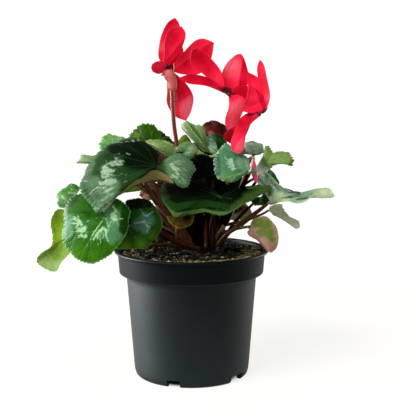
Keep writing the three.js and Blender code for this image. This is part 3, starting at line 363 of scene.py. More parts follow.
# Marks on the leaves as seen from the front. A row of seven numbers is a stroke: both ends, the half width
# at each and the strength. A row of three is a soft round patch: across, up and reach. The look, the depth
# of the teeth and the tone of the stalk are given with them.
PAINT = {
  "leaf_01": dict(look="dark", teeth=1.1, stalk=0.38,
    silver=[(-61, 165.4, -55, 166.5, 2.6, 3, 0.66), (-63.8, 165.6, -60, 165, 1, 2, 0.6),
      (-58.7, 170.5, -57, 168, 0.8, 1.6, 0.6), (-61.1, 171.8, -54.5, 173.4, 0.5, 0.6, 0.5),
      (-52.9, 174.7, -51.5, 172.6, 0.5, 0.6, 0.5), (-50, 173.6, -47, 172.4, 0.6, 0.7, 0.55),
      (-66.5, 161.6, -60.6, 159.6, 2.4, 1.4, 0.85), (-67.6, 158.4, -64.4, 157.2, 2.4, 1.8, 0.85),
      (-68.9, 155.6, -66, 155, 1.4, 0.9, 0.8), (-65.3, 167.5, -66, 163, 0.5, 0.9, 0.7),
      (-69.6, 150.2, -59.4, 151.8, 1.8, 1.9, 1), (-66, 152.6, -60, 153, 1, 1, 1),
      (-71.8, 151.4, -69, 150, 0.7, 1.4, 0.9), (-76, 144.8, -72.4, 147.2, 0.5, 0.6, 0.85),
      (-72.1, 147.5, -66.4, 146.6, 0.5, 0.7, 0.8), (-65.6, 144.4, -61.8, 146, 1.5, 1.1, 0.85),
      (-70, 143.2, -64, 143, 0.5, 0.9, 0.65), (-69.5, 153.7, -61.3, 157, 0.4, 0.4, 0.8),
      (-61.3, 157, -55.6, 156.2, 0.4, 0.3, 0.65), (-59.8, 148.8, -49.9, 152, 0.5, 0.3, 0.6),
      (-78.3, 141.8, -76.2, 144.7, 0.5, 0.5, 0.95), (-65.3, 166.1, -54.7, 157.8, 0.3, 0.4, 0.6),
      (-54.7, 157.8, -44.1, 154.9, 0.4, 0.3, 0.55), (-43.2, 163.6, -36.7, 158.6, 0.3, 0.3, 0.6),
      (-73, 140.5, -65.6, 139.2, 0.4, 0.5, 0.6), (-69.8, 136.4, -59.9, 142.1, 0.5, 0.5, 0.7),
      (-75, 130.4, -66.6, 130.4, 1.4, 1.6, 0.62), (-66.6, 130.4, -60.6, 136.3, 1.6, 1.1, 0.62),
      (-73, 132.6, -62, 138, 0.5, 0.4, 0.6), (-84.2, 152.6, -77.4, 151.4, 0.7, 0.5, 0.6),
      (-15.2, 164.5, -11.6, 161.1, 1.7, 2.2, 0.8), (-11.6, 158.7, -10.2, 157.2, 1.8, 1.4, 0.8),
      (-14.5, 156.7, -10.7, 154.3, 1, 1.1, 0.75), (-20.8, 157.5, -15, 154.8, 0.5, 0.8, 0.7),
      (-9.2, 167.4, -1.5, 165, 1.2, 1, 0.55), (-7, 162, -1, 158, 0.8, 0.6, 0.5),
      (-9, 152, -3, 150, 0.8, 0.6, 0.5), (-71, 134, -63, 139, 4, 4, 0.42), (-11, 165, -6, 153, 5, 4, 0.42),
      (-70, 145, -62, 150, 5, 5, 0.4), (-33, 182, -26, 176, 1, 0.8, 0.4),
      (-60, 181.6, -40, 183.6, 1.2, 1.2, 0.4)],
    # Leaf 1's haze is partly its misty silvering and partly a painted reflection of the sky's sheen on the
    # wax.
    haze=[(-80, 156, -72, 136, 5, 6, 0.55), (-74, 150, -63, 139, 7, 7, 0.7), (-66, 160, -60, 149, 5, 6, 0.7),
      (-76, 166, -82, 154, 3, 4, 0.55), (-70, 131, -61, 138, 8, 8, 1), (-66, 180, -54, 184, 1.4, 1.6, 0.55),
      (-54, 184, -38, 183.4, 1.6, 1.4, 0.5), (-11, 166, -7, 152, 10, 9, 1), (-2, 164, -3, 152, 6, 6, 1)],
    deep=[(-60, 176, -46, 177.6, 5, 7, 0.72), (-46, 177, -31, 172, 9, 9, 0.86),
      (-46, 168, -30, 167, 8, 8, 0.82), (-64, 172, -52, 174, 5, 6, 0.4)]),
  "leaf_02": dict(look="bright", teeth=0.8, stalk=0.34,
    silver=[(-85.6, 119.4, -92, 122.9, 0.9, 0.45, 0.95), (-86.4, 121, -91.4, 124.6, 0.7, 0.4, 0.9),
      (-87, 122.4, -88.4, 125.9, 0.6, 0.4, 0.7), (-86, 118.4, -92.6, 119, 1, 0.4, 0.9),
      (-88, 118, -90.2, 114.8, 0.8, 0.4, 0.9), (-85.5, 118, -88, 121, 1.4, 1.2, 0.95),
      (-90, 121.4, -94.2, 122.3, 0.4, 0.4, 0.7), (-87.5, 113.9, -83.2, 115, 1.7, 2, 1),
      (-84.4, 113.2, -83.4, 113, 1.4, 1.2, 0.9), (-88, 113.4, -95, 112.2, 0.8, 0.4, 0.8),
      (-95, 112.2, -98.3, 111.7, 0.4, 0.4, 0.7), (-86, 109.3, -82.2, 109, 1.5, 1.5, 0.8),
      (-86.7, 108.6, -91.2, 106.6, 0.7, 0.4, 0.7), (-84, 108, -84, 105.6, 0.7, 0.4, 0.7),
      (-89, 109.6, -86.5, 109.6, 0.6, 0.8, 0.7), (-76.2, 106, -74.5, 109.6, 0.7, 0.9, 0.9),
      (-74.5, 109.6, -71.1, 113.3, 1, 1.1, 1), (-71.1, 113.3, -68.3, 115.3, 1.1, 1.2, 1),
      (-68.3, 115.3, -66.1, 113, 1.3, 1.2, 1), (-66.1, 113, -66.7, 109.6, 1.2, 0.9, 0.9),
      (-66.7, 109.6, -64.6, 103.7, 0.8, 0.4, 0.85), (-73.4, 108, -68.6, 111.6, 1.6, 2, 0.55),
      (-71.4, 106, -69, 108.6, 1, 1.4, 0.5), (-74, 106, -72.4, 101.5, 0.6, 0.4, 0.7),
      (-71, 106, -70.7, 101, 0.6, 0.4, 0.7), (-60.4, 125.6, -59.8, 122.6, 2.4, 2.6, 0.95),
      (-59.8, 122, -57.7, 121.7, 1.6, 1, 0.9), (-60.6, 132.6, -58.6, 128.4, 1, 1.2, 0.8),
      (-57.7, 122.4, -52.7, 122.8, 0.5, 0.4, 0.8), (-58.4, 120.6, -56.6, 117.2, 0.5, 0.4, 0.75),
      (-60.4, 120.4, -60.8, 117.6, 0.5, 0.3, 0.6), (-62.1, 121, -64.9, 114.6, 0.6, 0.4, 0.85),
      (-67.6, 124.5, -79.3, 121.2, 0.4, 0.4, 0.65), (-79.3, 121.2, -84.3, 117.8, 0.4, 0.4, 0.75),
      (-67.4, 123.6, -73.3, 115, 0.4, 0.5, 0.85), (-73.3, 115, -77.3, 109.4, 0.5, 0.6, 0.9),
      (-77.3, 109.4, -79, 104.9, 0.6, 0.5, 0.8), (-79, 104.9, -76.8, 102.6, 0.6, 0.4, 0.7),
      (-79, 104.4, -84, 98, 0.5, 0.4, 0.55), (-66.5, 122.8, -64.9, 118.9, 0.5, 0.5, 0.8),
      (-64.9, 118.9, -64.4, 113.8, 0.5, 0.4, 0.8), (-75.6, 113, -81.7, 111.6, 0.4, 0.4, 0.7),
      (-81.7, 111.6, -91.7, 111.1, 0.4, 0.4, 0.65)],
    haze=[(-99, 128, -99.6, 109, 2.6, 3, 0.95), (-96, 122, -96, 111, 4, 4, 0.9),
      (-93, 123, -84, 116, 4, 5, 0.55), (-82, 120, -75, 119, 3, 3, 0.4), (-64, 130, -63, 112, 3, 3, 0.85),
      (-60, 125, -58, 109, 5, 4.4, 0.95), (-64, 110, -62, 105, 4, 3, 0.85), (-72, 112, -66, 108, 4, 4, 0.5)],
    deep=[(-50, 130, -51.5, 115, 4, 5, 1), (-97, 133, -90, 139, 4, 4, 0.62), (-84, 128, -80, 126, 2, 3, 0.5)],
    margin=[(-88, 94, 8), (-74, 90, 8), (-58, 98, 7)]),
  "leaf_03": dict(look="deep", teeth=0.6, stalk=0.45,
    silver=[(-44.4, 118.9, -36.9, 120.6, 0.5, 0.7, 0.9), (-36.4, 125, -33.7, 125.2, 1.1, 1.1, 0.65),
      (-33.7, 125.2, -29.8, 128.3, 0.8, 0.6, 0.65), (-36, 124.8, -39.9, 130.3, 0.9, 0.6, 0.6),
      (-36.9, 120.6, -33.9, 116, 0.9, 1, 0.7), (-32.2, 116.9, -34.6, 112.6, 1, 1, 0.55),
      (-36.9, 120.6, -29.9, 118.5, 0.7, 0.6, 0.6), (-36.9, 120.6, -35.6, 125, 0.6, 0.8, 0.7),
      (-36.9, 120.6, -41, 115.6, 0.6, 0.4, 0.6), (-49.3, 115.4, -46.3, 110.6, 0.4, 0.4, 0.6),
      (-46.3, 110.6, -41.6, 105.9, 0.4, 0.3, 0.5)],
    haze=[(-42, 118, -33, 122, 5, 5, 0.85), (-36, 124, -36, 114, 4, 4, 0.85)],
    deep=[(-50, 133, -30, 135.6, 4, 4, 0.9), (-50, 119, 4)],
    margin=[(-52, 100, 6), (-40, 101, 6), (-29, 108, 4), (-58, 104, 6)]),
  "leaf_04": dict(look="olive", teeth=0.5, stalk=0.55, haze=[(-104, 96, 8)],
    margin=[(-116, 89, 9), (-107, 86, 9), (-103, 92, 6)]),
  "leaf_05": dict(look="fresh", teeth=0.9,
    silver=[(-95.5, 143, -86.1, 142.4, 0.8, 1.2, 0.8), (-100.5, 140.2, -97.8, 138.6, 1.4, 1.4, 0.65),
      (-93.2, 146.3, -89.4, 144.1, 0.6, 0.6, 0.7), (-97.8, 136.3, -100.7, 130.8, 1, 1, 0.6),
      (-95, 139, -90, 136, 0.6, 0.6, 0.6)],
    haze=[(-101, 138, -88, 142, 4, 4, 0.9)]),
  "leaf_06": dict(look="grey", haze=[(-80, 169, 6)]),
  "leaf_07": dict(look="fresh", teeth=1.2,
    haze=[(-60, 184, 6), (-55, 185, 6)], margin=[(-68, 184, 4)],
    silver=[(-62, 184.6, -51, 184.4, 1.2, 1.2, 0.4)]),
  "leaf_08": dict(look="moss", teeth=1.4,
    deep=[(-15, 181, 6), (-20, 189, 4)], haze=[(-42, 187, 3)],
    silver=[(-41, 184, -37, 194, 0.5, 0.4, 0.6)]),
  "leaf_09": dict(look="sage", teeth=0.9, margin=[(-28, 179, 4)],
    silver=[(-31, 181, -22, 176, 0.8, 0.8, 0.55), (-22, 183, -14, 180, 0.9, 1, 0.5),
      (-24, 181, -17, 176, 0.6, 0.5, 0.5)]),
  "leaf_10": dict(look="grey", teeth=1.2,
    silver=[(-6.7, 176.1, 1.5, 177.5, 0.6, 0.6, 0.55), (-4.8, 173.7, 1.5, 174.6, 0.6, 0.6, 0.55),
      (-0.5, 178.5, 1.5, 180.9, 0.6, 0.6, 0.5)], haze=[(2, 176, 4)],
    deep=[(-11, 176, -8, 173, 1.4, 1.4, 0.7), (-6, 180, 0, 180, 1, 1, 0.4)]),
  # The deep strokes along leaf 11's folds are painted shade in its creases.
  "leaf_11": dict(look="pale",
    deep=[(12, 180, 9.6, 187, 1, 0.8, 0.7), (-5, 193, 6, 179, 0.6, 0.6, 0.75),
      (0, 194, 9, 183, 0.6, 0.6, 0.75)],
    silver=[(-6.4, 194.6, -2.6, 188.6, 0.9, 0.9, 0.95), (-2.6, 188.6, 2.1, 182.6, 0.9, 0.9, 0.95),
      (2.1, 182.6, 7.2, 176.6, 0.9, 0.8, 0.95), (-3, 195.6, 0.4, 191.3, 0.5, 0.6, 0.7),
      (0.4, 191.3, 4.6, 186.2, 0.6, 0.6, 0.7), (4.6, 186.2, 9.8, 179.3, 0.6, 0.5, 0.7),
      (2.5, 194.3, 5.5, 191.3, 0.6, 0.6, 0.6), (-7, 193, -1, 185.6, 0.3, 0.3, 0.8)]),
  "leaf_12": dict(look="maroon", teeth=0.6,
    haze=[(8, 190.5, 3.5), (15, 189, 2.5)],
    deep=[(24, 193, 5), (13, 197, 3)]),
  "leaf_13": dict(look="deep",
    silver=[(13, 181, 16, 176, 0.8, 0.8, 0.5)], haze=[(16, 183, 4)],
    deep=[(20, 188, 26, 184, 1.4, 1.4, 0.6)]),
  "leaf_14": dict(look="mint", teeth=1.35, stalk=0.9,
    silver=[(30.5, 168.3, 32.2, 161.7, 1.9, 2.1, 0.85), (27.4, 166.4, 31.6, 167.8, 0.5, 0.8, 0.9),
      (27.2, 165.3, 32.1, 165, 0.5, 0.9, 0.9), (28.8, 162.8, 32.1, 162.5, 0.5, 0.8, 0.9),
      (25.4, 172.7, 26.7, 169.1, 0.4, 0.6, 0.8), (26.7, 169.1, 28.8, 167.2, 0.5, 0.6, 0.7),
      (22.8, 164.9, 25, 164.9, 0.5, 0.5, 0.7), (29.4, 171.1, 36, 169.7, 0.5, 0.5, 0.6),
      (33.8, 161.7, 43.7, 163.3, 0.5, 0.4, 0.6)],
    haze=[(39, 166, 6), (43, 163, 5), (48, 162, 4)],
    deep=[(21, 158, 20, 171, 2, 2.4, 0.7)],
    margin=[(30, 154, 4), (24, 155, 3), (32, 156.6, 40, 158, 1, 1, 1), (40, 158, 46, 160.6, 1, 1, 1)]),
  "leaf_15": dict(look="steel", teeth=0.8,
    silver=[(43.2, 180.6, 48.3, 180.8, 0.7, 0.9, 0.8), (48.3, 180.8, 54.3, 179.7, 0.9, 0.7, 0.7),
      (44.9, 175.8, 53.5, 177.6, 0.6, 0.6, 0.6), (44, 178.4, 50, 178.4, 0.5, 0.5, 0.5)]),
  "leaf_16": dict(look="lime", teeth=2, stalk=1,
    deep=[(54, 168, 2.4), (56, 162, 2.4), (79, 167, 2.4), (77, 164.5, 2), (76, 174.6, 2)]),
  "leaf_17": dict(look="bright", haze=[(60, 158, 3)], teeth=0.6),
  "leaf_18": dict(look="steel", teeth=0.3, stalk=0.6,
    deep=[(50.6, 156.6, 53, 152, 1, 1.4, 0.8), (76, 143, 84, 142.8, 0.8, 1, 0.95),
      (57, 157, 68, 145, 0.8, 0.8, 0.6), (54, 152, 62, 142, 1, 1.4, 0.55),
      (64, 150, 76, 142.6, 0.6, 0.8, 0.5)],
    silver=[(53, 158.4, 62, 152.4, 0.5, 0.5, 0.8), (60, 151.4, 66, 144, 0.5, 0.5, 0.8),
      (62, 142, 70, 146, 0.5, 0.4, 0.6), (55, 155, 60, 148, 0.5, 0.5, 0.7)],
    margin=[(62, 138, 77, 138.4, 2.6, 2, 1), (64, 141, 70, 141.6, 2, 1.6, 0.9)]),
  # Leaf 19 lies under the leaves above it: its black look and its deep marks are painted shade.
  "leaf_19": dict(look="black", teeth=0.5,
    silver=[(22, 139.5, 20.5, 147.5, 0.6, 0.4, 0.55), (22, 139.5, 15, 143, 0.5, 0.4, 0.5),
      (22, 139.5, 31, 138, 0.5, 0.4, 0.5), (21, 140, 23, 139, 1, 1, 0.6)],
    haze=[(-19, 135, -12, 131, 3, 3, 0.9), (-12, 131, -4, 133, 3, 3, 0.9), (-4, 133, 12, 134.4, 3, 3, 0.9),
      (12, 134.4, 28, 131.6, 2.6, 2.6, 0.9)],
    margin=[(-22, 136, -16.2, 128.8, 0.5, 0.6, 0.7), (-16.2, 128.8, -12.2, 125.6, 0.6, 0.7, 0.8),
      (-12.2, 125.6, -3.5, 127.8, 0.8, 0.8, 0.8), (-3.5, 127.8, 8.5, 129.6, 0.8, 0.8, 0.7),
      (8.5, 129.6, 20, 127, 0.8, 0.8, 0.7), (20, 127, 29, 126.8, 0.8, 1.2, 0.7),
      (29, 128.6, 44, 138, 2.4, 3.6, 0.42), (44, 139, 60, 147.4, 4, 2.4, 0.6),
      (30, 127.6, 44, 136.4, 0.8, 1, 0.9), (44, 146.6, 59, 148.2, 1, 1, 1)],
    deep=[(-12, 148, 4, 145, 7, 6, 0.9), (4, 145, 15, 147, 6, 4, 0.9)]),
  "leaf_20": dict(look="brown", teeth=0.4, stalk=0.4,
    margin=[(-12, 115.4, 1.2), (-4, 116, 1.2), (1, 121, 1.4)], deep=[(-4, 124, 4)]),
  "leaf_21": dict(look="rosy", teeth=0.5, stalk=0.25,
    haze=[(58, 117, 6), (60.5, 111, 5), (54, 119, 5), (63, 106, 3.5), (50, 119, 4)], deep=[(54, 111, 4)],
    margin=[(48, 106, 4), (55, 100, 4), (64, 99, 4)]),
  "leaf_22": dict(look="dusty", teeth=1.3, stalk=0.6,
    deep=[(62, 130, 65, 133, 0.6, 0.6, 0.5)],
    margin=[(71, 132, 3), (83, 117, 3)]),
  "leaf_23": dict(look="deep", deep=[(50, 137, 4), (58, 137, 4)], margin=[(54, 138, 3)]),
  "leaf_24": dict(look="maroon", teeth=0.4),
  "leaf_25": dict(look="maroon", teeth=0.6, haze=[(34, 143, 3)], deep=[(50, 147, 7)]),
  "leaf_26": dict(look="russet", deep=[(-39.5, 142, 2.2), (-25, 152, 6)], haze=[(-35, 140, 3.4)]),
  "leaf_27": dict(look="steel", teeth=0.8, stalk=0.55,
    deep=[(82, 137.4, 90, 138.4, 0.8, 1.2, 0.7), (90, 138.4, 93, 142, 1, 0.6, 0.6)],
    margin=[(103, 143.4, 7), (109, 142, 4), (72, 137.4, 5)]),
  # Leaf 28 and the first three inner leaves fill the dark inside of the crown: their black and brown looks
  # and deep marks are painted shade.
  "leaf_28": dict(look="black", teeth=0.2, deep=[(9, 162, 16)]),
  "inner_leaf_1": dict(look="black", teeth=0.1, deep=[(4, 156, 50)]),
  "inner_leaf_2": dict(look="black", teeth=0.6, deep=[(2, 126, 40)]),
  "inner_leaf_3": dict(look="brown", teeth=0.2, deep=[(-16, 114, 40)]),
  "inner_leaf_4": dict(look="moss", teeth=0.6, haze=[(-6, 184, 5)]),
  "leaf_29": dict(look="bright"),
  "leaf_30": dict(look="dark"),
  "leaf_31": dict(look="bright"),
  "leaf_32": dict(look="moss"),
  "leaf_33": dict(look="deep"),
  "leaf_34": dict(look="bright"),
  "leaf_35": dict(look="rosy"),
  "leaf_36": dict(look="deep"),
  "leaf_37": dict(look="dark"),
}
# Narrow turned-over parts of leaves: two long edges as seen from the front, with a depth for each.
TURNED = [
  dict(name="leaf_01_underside", look="dark", under=1,
    top=[(-56.8, 141.8, -46), (-45.8, 152.2, -39), (-36.8, 155.8, -36.5), (-29.6, 161.2, -33.4),
      (-23.6, 160.8, -33.4), (-18.1, 156.8, -35), (-13.7, 151.8, -38)],
    low=[(-56, 141, -42), (-43.6, 148.2, -33), (-34.7, 150.6, -29), (-28.1, 151.4, -27), (-22.7, 151.4, -28),
      (-18, 150.8, -31), (-13.7, 150, -36)]),
  dict(name="leaf_26_edge", look="olive", under=0,
    top=[(-56, 143.2, -22), (-47.4, 147.6, -21), (-36, 149.6, -20)],
    low=[(-56, 142.6, -22), (-47, 143.6, -21), (-37, 144.9, -19)]),
  dict(name="leaf_11_underside", look="olive", under=1,
    top=[(0.8, 180, -2), (5.3, 176.6, -3), (11, 172.6, -4), (16, 171.8, -4), (20, 174, -4)],
    low=[(4, 174, -3), (5.8, 171.2, -4), (11.6, 169.6, -5), (18.3, 171, -5), (20.6, 172.6, -5)]),
  dict(name="leaf_09_underside", look="russet", under=1,
    top=[(-29.4, 175, -15), (-25, 174, -15), (-19.6, 171.6, -14)],
    low=[(-27, 167.6, -13), (-23.4, 164.6, -13), (-19, 162.6, -12)]),
  # The strip under leaf 18 takes the black look: painted shade under the leaf.
  dict(name="leaf_18_underside", look="black", under=1,
    top=[(51.6, 152.4, -6), (56, 149.8, -8), (61.3, 148.4, -16), (61.9, 145.5, -19), (61, 140, -20)],
    low=[(51.6, 150.3, -6), (56, 147.8, -9), (59.2, 146, -19.5), (59.6, 143, -21), (59.6, 140, -21)]),
  dict(name="leaf_16_fold", look="grey", under=0,
    top=[(43.3, 158.8, -38), (47.6, 160.8, -36), (50.1, 162.7, -33), (52.3, 166.1, -24), (54, 169.1, -14),
      (55.6, 171.6, -8)],
    low=[(43.3, 157.2, -38), (47.6, 157.8, -36), (51, 158.6, -32), (54.5, 159.1, -24), (58.3, 159.5, -14),
      (61.2, 161.3, -9)]),
  dict(name="leaf_13_fold", look="mint", under=1, silver=0.5,
    top=[(10.4, 185, 0), (12, 180, -2), (15, 174.4, -4), (17.6, 172.2, -4)],
    low=[(13.6, 187.4, 2), (18.4, 182, 0), (20, 177.6, -2), (19.3, 173, -3)]),
]


def linear(code):
    """The linear colour of an sRGB hex code."""
    values = [int(code[i:i + 2], 16) / 255 for i in (1, 3, 5)]
    return tuple(v / 12.92 if v <= 0.04045 else ((v + 0.055) / 1.055) ** 2.4 for v in values) + (1.0,)


def colour(name, code, description):
    return FloatVectorProperty(name=name, description=description, subtype="COLOR", size=4,
                               min=0, max=1, default=linear(code))


def length(name, millimetres, description):
    return FloatProperty(name=name, description=description, default=millimetres * MM, unit="LENGTH")


class CYCLAMEN_PG_pot(bpy.types.PropertyGroup):
    """Sizes and colour of the moulded pot."""

    height: length("Height", 99, "Foot to lip")
    lip_radius: length("Lip radius", 60, "Outside of the lip, half of its width")
    lip_thickness: length("Lip thickness", 1.7, "Upright face of the lip")
    band_radius: length("Band radius", 57.4, "Outside of the stacking band under the lip")
    band_height: length("Band height", 17.5, "Stacking band, lip included")
    body_radius: length("Body radius", 50.5, "Outside of the tapered body at its top")
    body_top: length("Body top", 76, "Height at which the body widens to the band")
    foot_radius: length("Foot radius", 41.8, "Outside of the foot ring")
    wall: length("Wall", 1.5, "Thickness of the moulding")
    # Painted light: the paler colour that the plastic is given towards the foot, for the light the floor
    # throws back on it.
    dust: colour("Dust", "#1d2426", "Plastic near the foot, dulled by dust")
    plastic: colour("Plastic", "#070b0c", "Colour of the polypropylene")


class CYCLAMEN_PG_soil(bpy.types.PropertyGroup):
    """Sizes and colours of the potting soil."""

    level: length("Level", 95.5, "Height of the soil at the wall")
    rise: length("Rise", 1.2, "How much higher the soil lies in the middle")
    granule: length("Granule", 2.6, "Largest of the pale granules")
    granules: IntProperty(name="Granules", description="How many lie on the soil", default=3400, min=0)
    peat: colour("Peat", "#120b05", "Damp peat between the granules")
    grit: colour("Grit", "#8a7840", "Pale granules")


class CYCLAMEN_PG_leaves(bpy.types.PropertyGroup):
    """Sizes of the leaf blades and their stalks."""

    thickness: length("Thickness", 0.5, "Leaf blade, through the middle")
    tooth_width: length("Tooth width", 3.1, "Between two teeth of the margin")
    tooth_depth: length("Tooth depth", 1.6, "Height of a tooth")
    quilting: length("Quilting", 0.45, "How far the blade stands up between its veins")
    stalk_radius: length("Stalk radius", 1.5, "Leaf stalk at its root")
    stalk: colour("Stalk", "#6a4c22", "Olive-brown leaf stalks")
    stalk_red: colour("Red stalk", "#4a160e", "Leaf stalks that have reddened")
    # Painted shade: stalks deep inside the crown are given this near-black colour.
    stalk_dark: colour("Dark stalk", "#140403", "Leaf stalks in the middle of the crown")
    stalk_pink: colour("Pink stalk", "#c8526a", "Young stalks")
    tuber: colour("Tuber", "#120a06", "Corky skin of the tuber")


class CYCLAMEN_PG_flowers(bpy.types.PropertyGroup):
    """Sizes and colours of the flowers and the bud."""

    petal_thickness: length("Petal thickness", 0.45, "Petal, through the middle")
    scape_radius: length("Scape radius", 1.7, "Flower stalk below the calyx")
    bright: colour("Petal", "#ee2244", "Face of a petal")
    lit: colour("Lit petal", "#ff6478", "Where light shines through a petal")
    # Painted shade: the crimson of a petal's folds.
    deep: colour("Petal base", "#c80826", "Petal in its folds")
    mouth: colour("Mouth", "#4a0a14", "Stain round the flower's mouth")
    edge: colour("Petal edge", "#ff6a7c", "Thin rim of a petal")
    # Painted light: the petals glow with their own colour by this much.
    shine_through: FloatProperty(name="Shine through", description="Daylight that a thin petal passes on",
                                 default=0.22)
    scape: colour("Scape", "#84301f", "Flower stalk")
    calyx: colour("Calyx", "#f07c76", "Calyx and flower tube")
    bud: colour("Bud", "#ff5080", "Closed bud")


class CYCLAMEN_PG_studio(bpy.types.PropertyGroup):
    """Floor and light."""

    floor: colour("Floor", "#8a867c", "What the white sweep gives back of the light on it")
    floor_size: length("Floor size", 8000, "Side of the floor")
    glow: FloatProperty(name="Floor glow", description="Light that the sweep gives of itself", default=0.84)
    sun: FloatProperty(name="Daylight", description="Strength of the broad light from the left", default=3.0)
    spread: FloatProperty(name="Spread", description="Width of the broad light in the sky", subtype="ANGLE",
                          default=math.radians(50))
    key: FloatProperty(name="Left softbox", description="Power of the softbox on the left", default=110,
                       unit="POWER")
    fill: FloatProperty(name="Right softbox", description="Power of the softbox on the right", default=18,
                        unit="POWER")
    sky: FloatProperty(name="Sky", description="Strength of the light from all round", default=0.27)


def seen(point):
    """The place, in millimetres, of a point seen at (across, up) in the axis plane, at the given depth."""
    across, up, depth = point
    share = (EYE_DISTANCE + depth) / EYE_DISTANCE
    return np.array([across * share, depth, EYE_HEIGHT + (up - EYE_HEIGHT) * share])


def as_seen(points):
    """Across and up in the axis plane, for places in millimetres."""
    share = (EYE_DISTANCE + points[:, 1]) / EYE_DISTANCE
    return points[:, 0] / share, EYE_HEIGHT + (points[:, 2] - EYE_HEIGHT) / share


def ramp(value, low, high):
    share = np.clip((value - low) / (high - low), 0, 1)
    return share * share * (3 - 2 * share)


def unit(vectors):
    return vectors / np.maximum(np.linalg.norm(vectors, axis=-1, keepdims=True), 1e-9)


class Line:
    """A smooth curve through points, read by the share of its length."""

    SAMPLES = 400

    def __init__(self, points):
        knots = np.array(points, float)
        self.spans = len(knots) - 1
        self.knots = np.vstack([2 * knots[0] - knots[1], knots, 2 * knots[-1] - knots[-2]])
        self.shares = np.linspace(0, 1, self.SAMPLES + 1)
        places = self.place(self.shares)
        pieces = np.linalg.norm(np.diff(places, axis=0), axis=1)
        self.lengths = np.concatenate([[0], np.cumsum(pieces)])
        self.length = self.lengths[-1]

    def place(self, parameter):
        spot = np.clip(parameter, 0, 1) * self.spans
        span = np.minimum(spot.astype(int), self.spans - 1)
        t = (spot - span)[:, None]
        before, start, end, after = (self.knots[span + k] for k in range(4))
        leave = 0.5 * (end - before)
        arrive = 0.5 * (after - start)
        return ((2 * t**3 - 3 * t**2 + 1) * start + (t**3 - 2 * t**2 + t) * leave
                + (3 * t**2 - 2 * t**3) * end + (t**3 - t**2) * arrive)

    def at(self, shares):
        return self.place(np.interp(np.asarray(shares) * self.length, self.lengths, self.shares))

    def tangent(self, shares):
        shares = np.asarray(shares)
        step = 0.002
        return unit(self.at(np.minimum(shares + step, 1)) - self.at(np.maximum(shares - step, 0)))

    def frames(self, shares):
        """Tangents with two more directions across them, which turn as little as they can."""
        tangents = self.tangent(shares)
        side = np.cross(tangents[0], [0, 0, 1] if abs(tangents[0][2]) < 0.9 else [1, 0, 0])
        sides = []
        for tangent in tangents:
            side = unit(side - tangent * np.dot(side, tangent))
            sides.append(side)
        sides = np.array(sides)
        return tangents, sides, np.cross(tangents, sides)


# Work with Blender's own tools

def deselect():
    if bpy.context.object and bpy.context.object.mode != "OBJECT":
        bpy.ops.object.mode_set(mode="OBJECT")
    bpy.ops.object.select_all(action="DESELECT")


def alone(*pieces):
    deselect()
    for piece in pieces:
        piece.select_set(True)
    bpy.context.view_layer.objects.active = pieces[0]


def finish_with(piece, kind, **settings):
    """Adds a modifier with its settings and applies it."""
    alone(piece)
    modifier = piece.modifiers.new(kind.title(), kind)
    for key, value in settings.items():
        setattr(modifier, key, value)
    bpy.ops.object.modifier_apply(modifier=modifier.name)


def weld(piece, close=False):
    """Merges the points that meet at a pole or seam, and closes the open ends of a tube."""
    alone(piece)
    bpy.ops.object.mode_set(mode="EDIT")
    bpy.ops.mesh.select_all(action="SELECT")
    bpy.ops.mesh.remove_doubles(threshold=0.004 * MM)
    if close:
        bpy.ops.mesh.fill_holes(sides=0)
        bpy.ops.mesh.select_all(action="SELECT")
        bpy.ops.mesh.normals_make_consistent(inside=False)
    bpy.ops.object.mode_set(mode="OBJECT")


def mark(data, **values):
    """Keeps numbers for each point, which the materials read by name."""
    for key, numbers in values.items():
        layer = data.attributes.get(key) or data.attributes.new(key, "FLOAT", "POINT")
        layer.data.foreach_set("value", np.broadcast_to(numbers, len(data.vertices)).astype(float))


def sheet(name, columns, levels, shape):
    """A flat grid laid on the surface that shape(along, level) gives, with both kept as its UV map."""
    deselect()
    rows = len(levels) - 1
    bpy.ops.mesh.primitive_grid_add(x_subdivisions=columns, y_subdivisions=rows, size=1)
    piece = bpy.context.object
    piece.name = piece.data.name = name
    data = piece.data
    flat = np.empty(3 * len(data.vertices))
    data.vertices.foreach_get("co", flat)
    x, y, _ = flat.reshape(-1, 3).T + 0.5
    level = np.interp(y, np.linspace(0, 1, rows + 1), levels)
    places, values = shape(x, level)
    data.vertices.foreach_set("co", (places * MM).ravel())
    mark(data, **values)
    corners = np.empty(len(data.loops), np.int32)
    data.loops.foreach_get("vertex_index", corners)
    data.uv_layers[0].data.foreach_set("uv", np.stack([x, level], 1)[corners].ravel())
    return piece


def rolled(name, points, radius_at, sides, steps, relief=None, **values):
    """A sheet rolled into a closed round bar along a smooth line, with its ends filled."""
    line = Line(points)
    shares = np.linspace(0, 1, steps + 1)
    centres = line.at(shares)
    _, ones, twos = line.frames(shares)

    def shape(around, share):
        row = np.rint(share * steps).astype(int)
        turn = 2 * np.pi * around
        out = np.cos(turn)[:, None] * ones[row] + np.sin(turn)[:, None] * twos[row]
        radius = radius_at(share)
        if relief:
            radius = radius + relief(around, share)
        places = centres[row] + out * radius[:, None]
        return places, {key: np.full(len(share), value) for key, value in values.items()}

    piece = sheet(name, sides, shares, shape)
    weld(piece, close=True)
    return piece


def joined(name, pieces):
    alone(*pieces)
    bpy.ops.object.join()
    piece = bpy.context.object
    piece.name = piece.data.name = name
    return piece


def smooth_shaded(piece, degrees=60):
    alone(piece)
    bpy.ops.object.shade_smooth_by_angle(angle=math.radians(degrees))


def dressed(piece, material, degrees=60):
    """Gives a piece its material and smooth shading."""
    piece.data.materials.append(material)
    smooth_shaded(piece, degrees)


def placed(piece, slot, *nodes):
    """Ties a finished piece to its body and hides the solids that it stands for. The slot is not used."""
    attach(piece, BODY)
    if nodes:
        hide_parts(*nodes)


# Materials

def start_material(name):
    """An empty node material, its tree, and the place of a point on the piece that wears it."""
    material = bpy.data.materials.new(name)
    material.use_nodes = True
    tree = material.node_tree
    tree.nodes.clear()
    return material, tree, add(tree, "TexCoord", take="Object")


# What is always asked of some kinds of node, and the output that is then read.
USUAL = {"Mix": {"data_type": "RGBA"}}
TAKEN = {"Mix": 2, "Attribute": "Fac"}


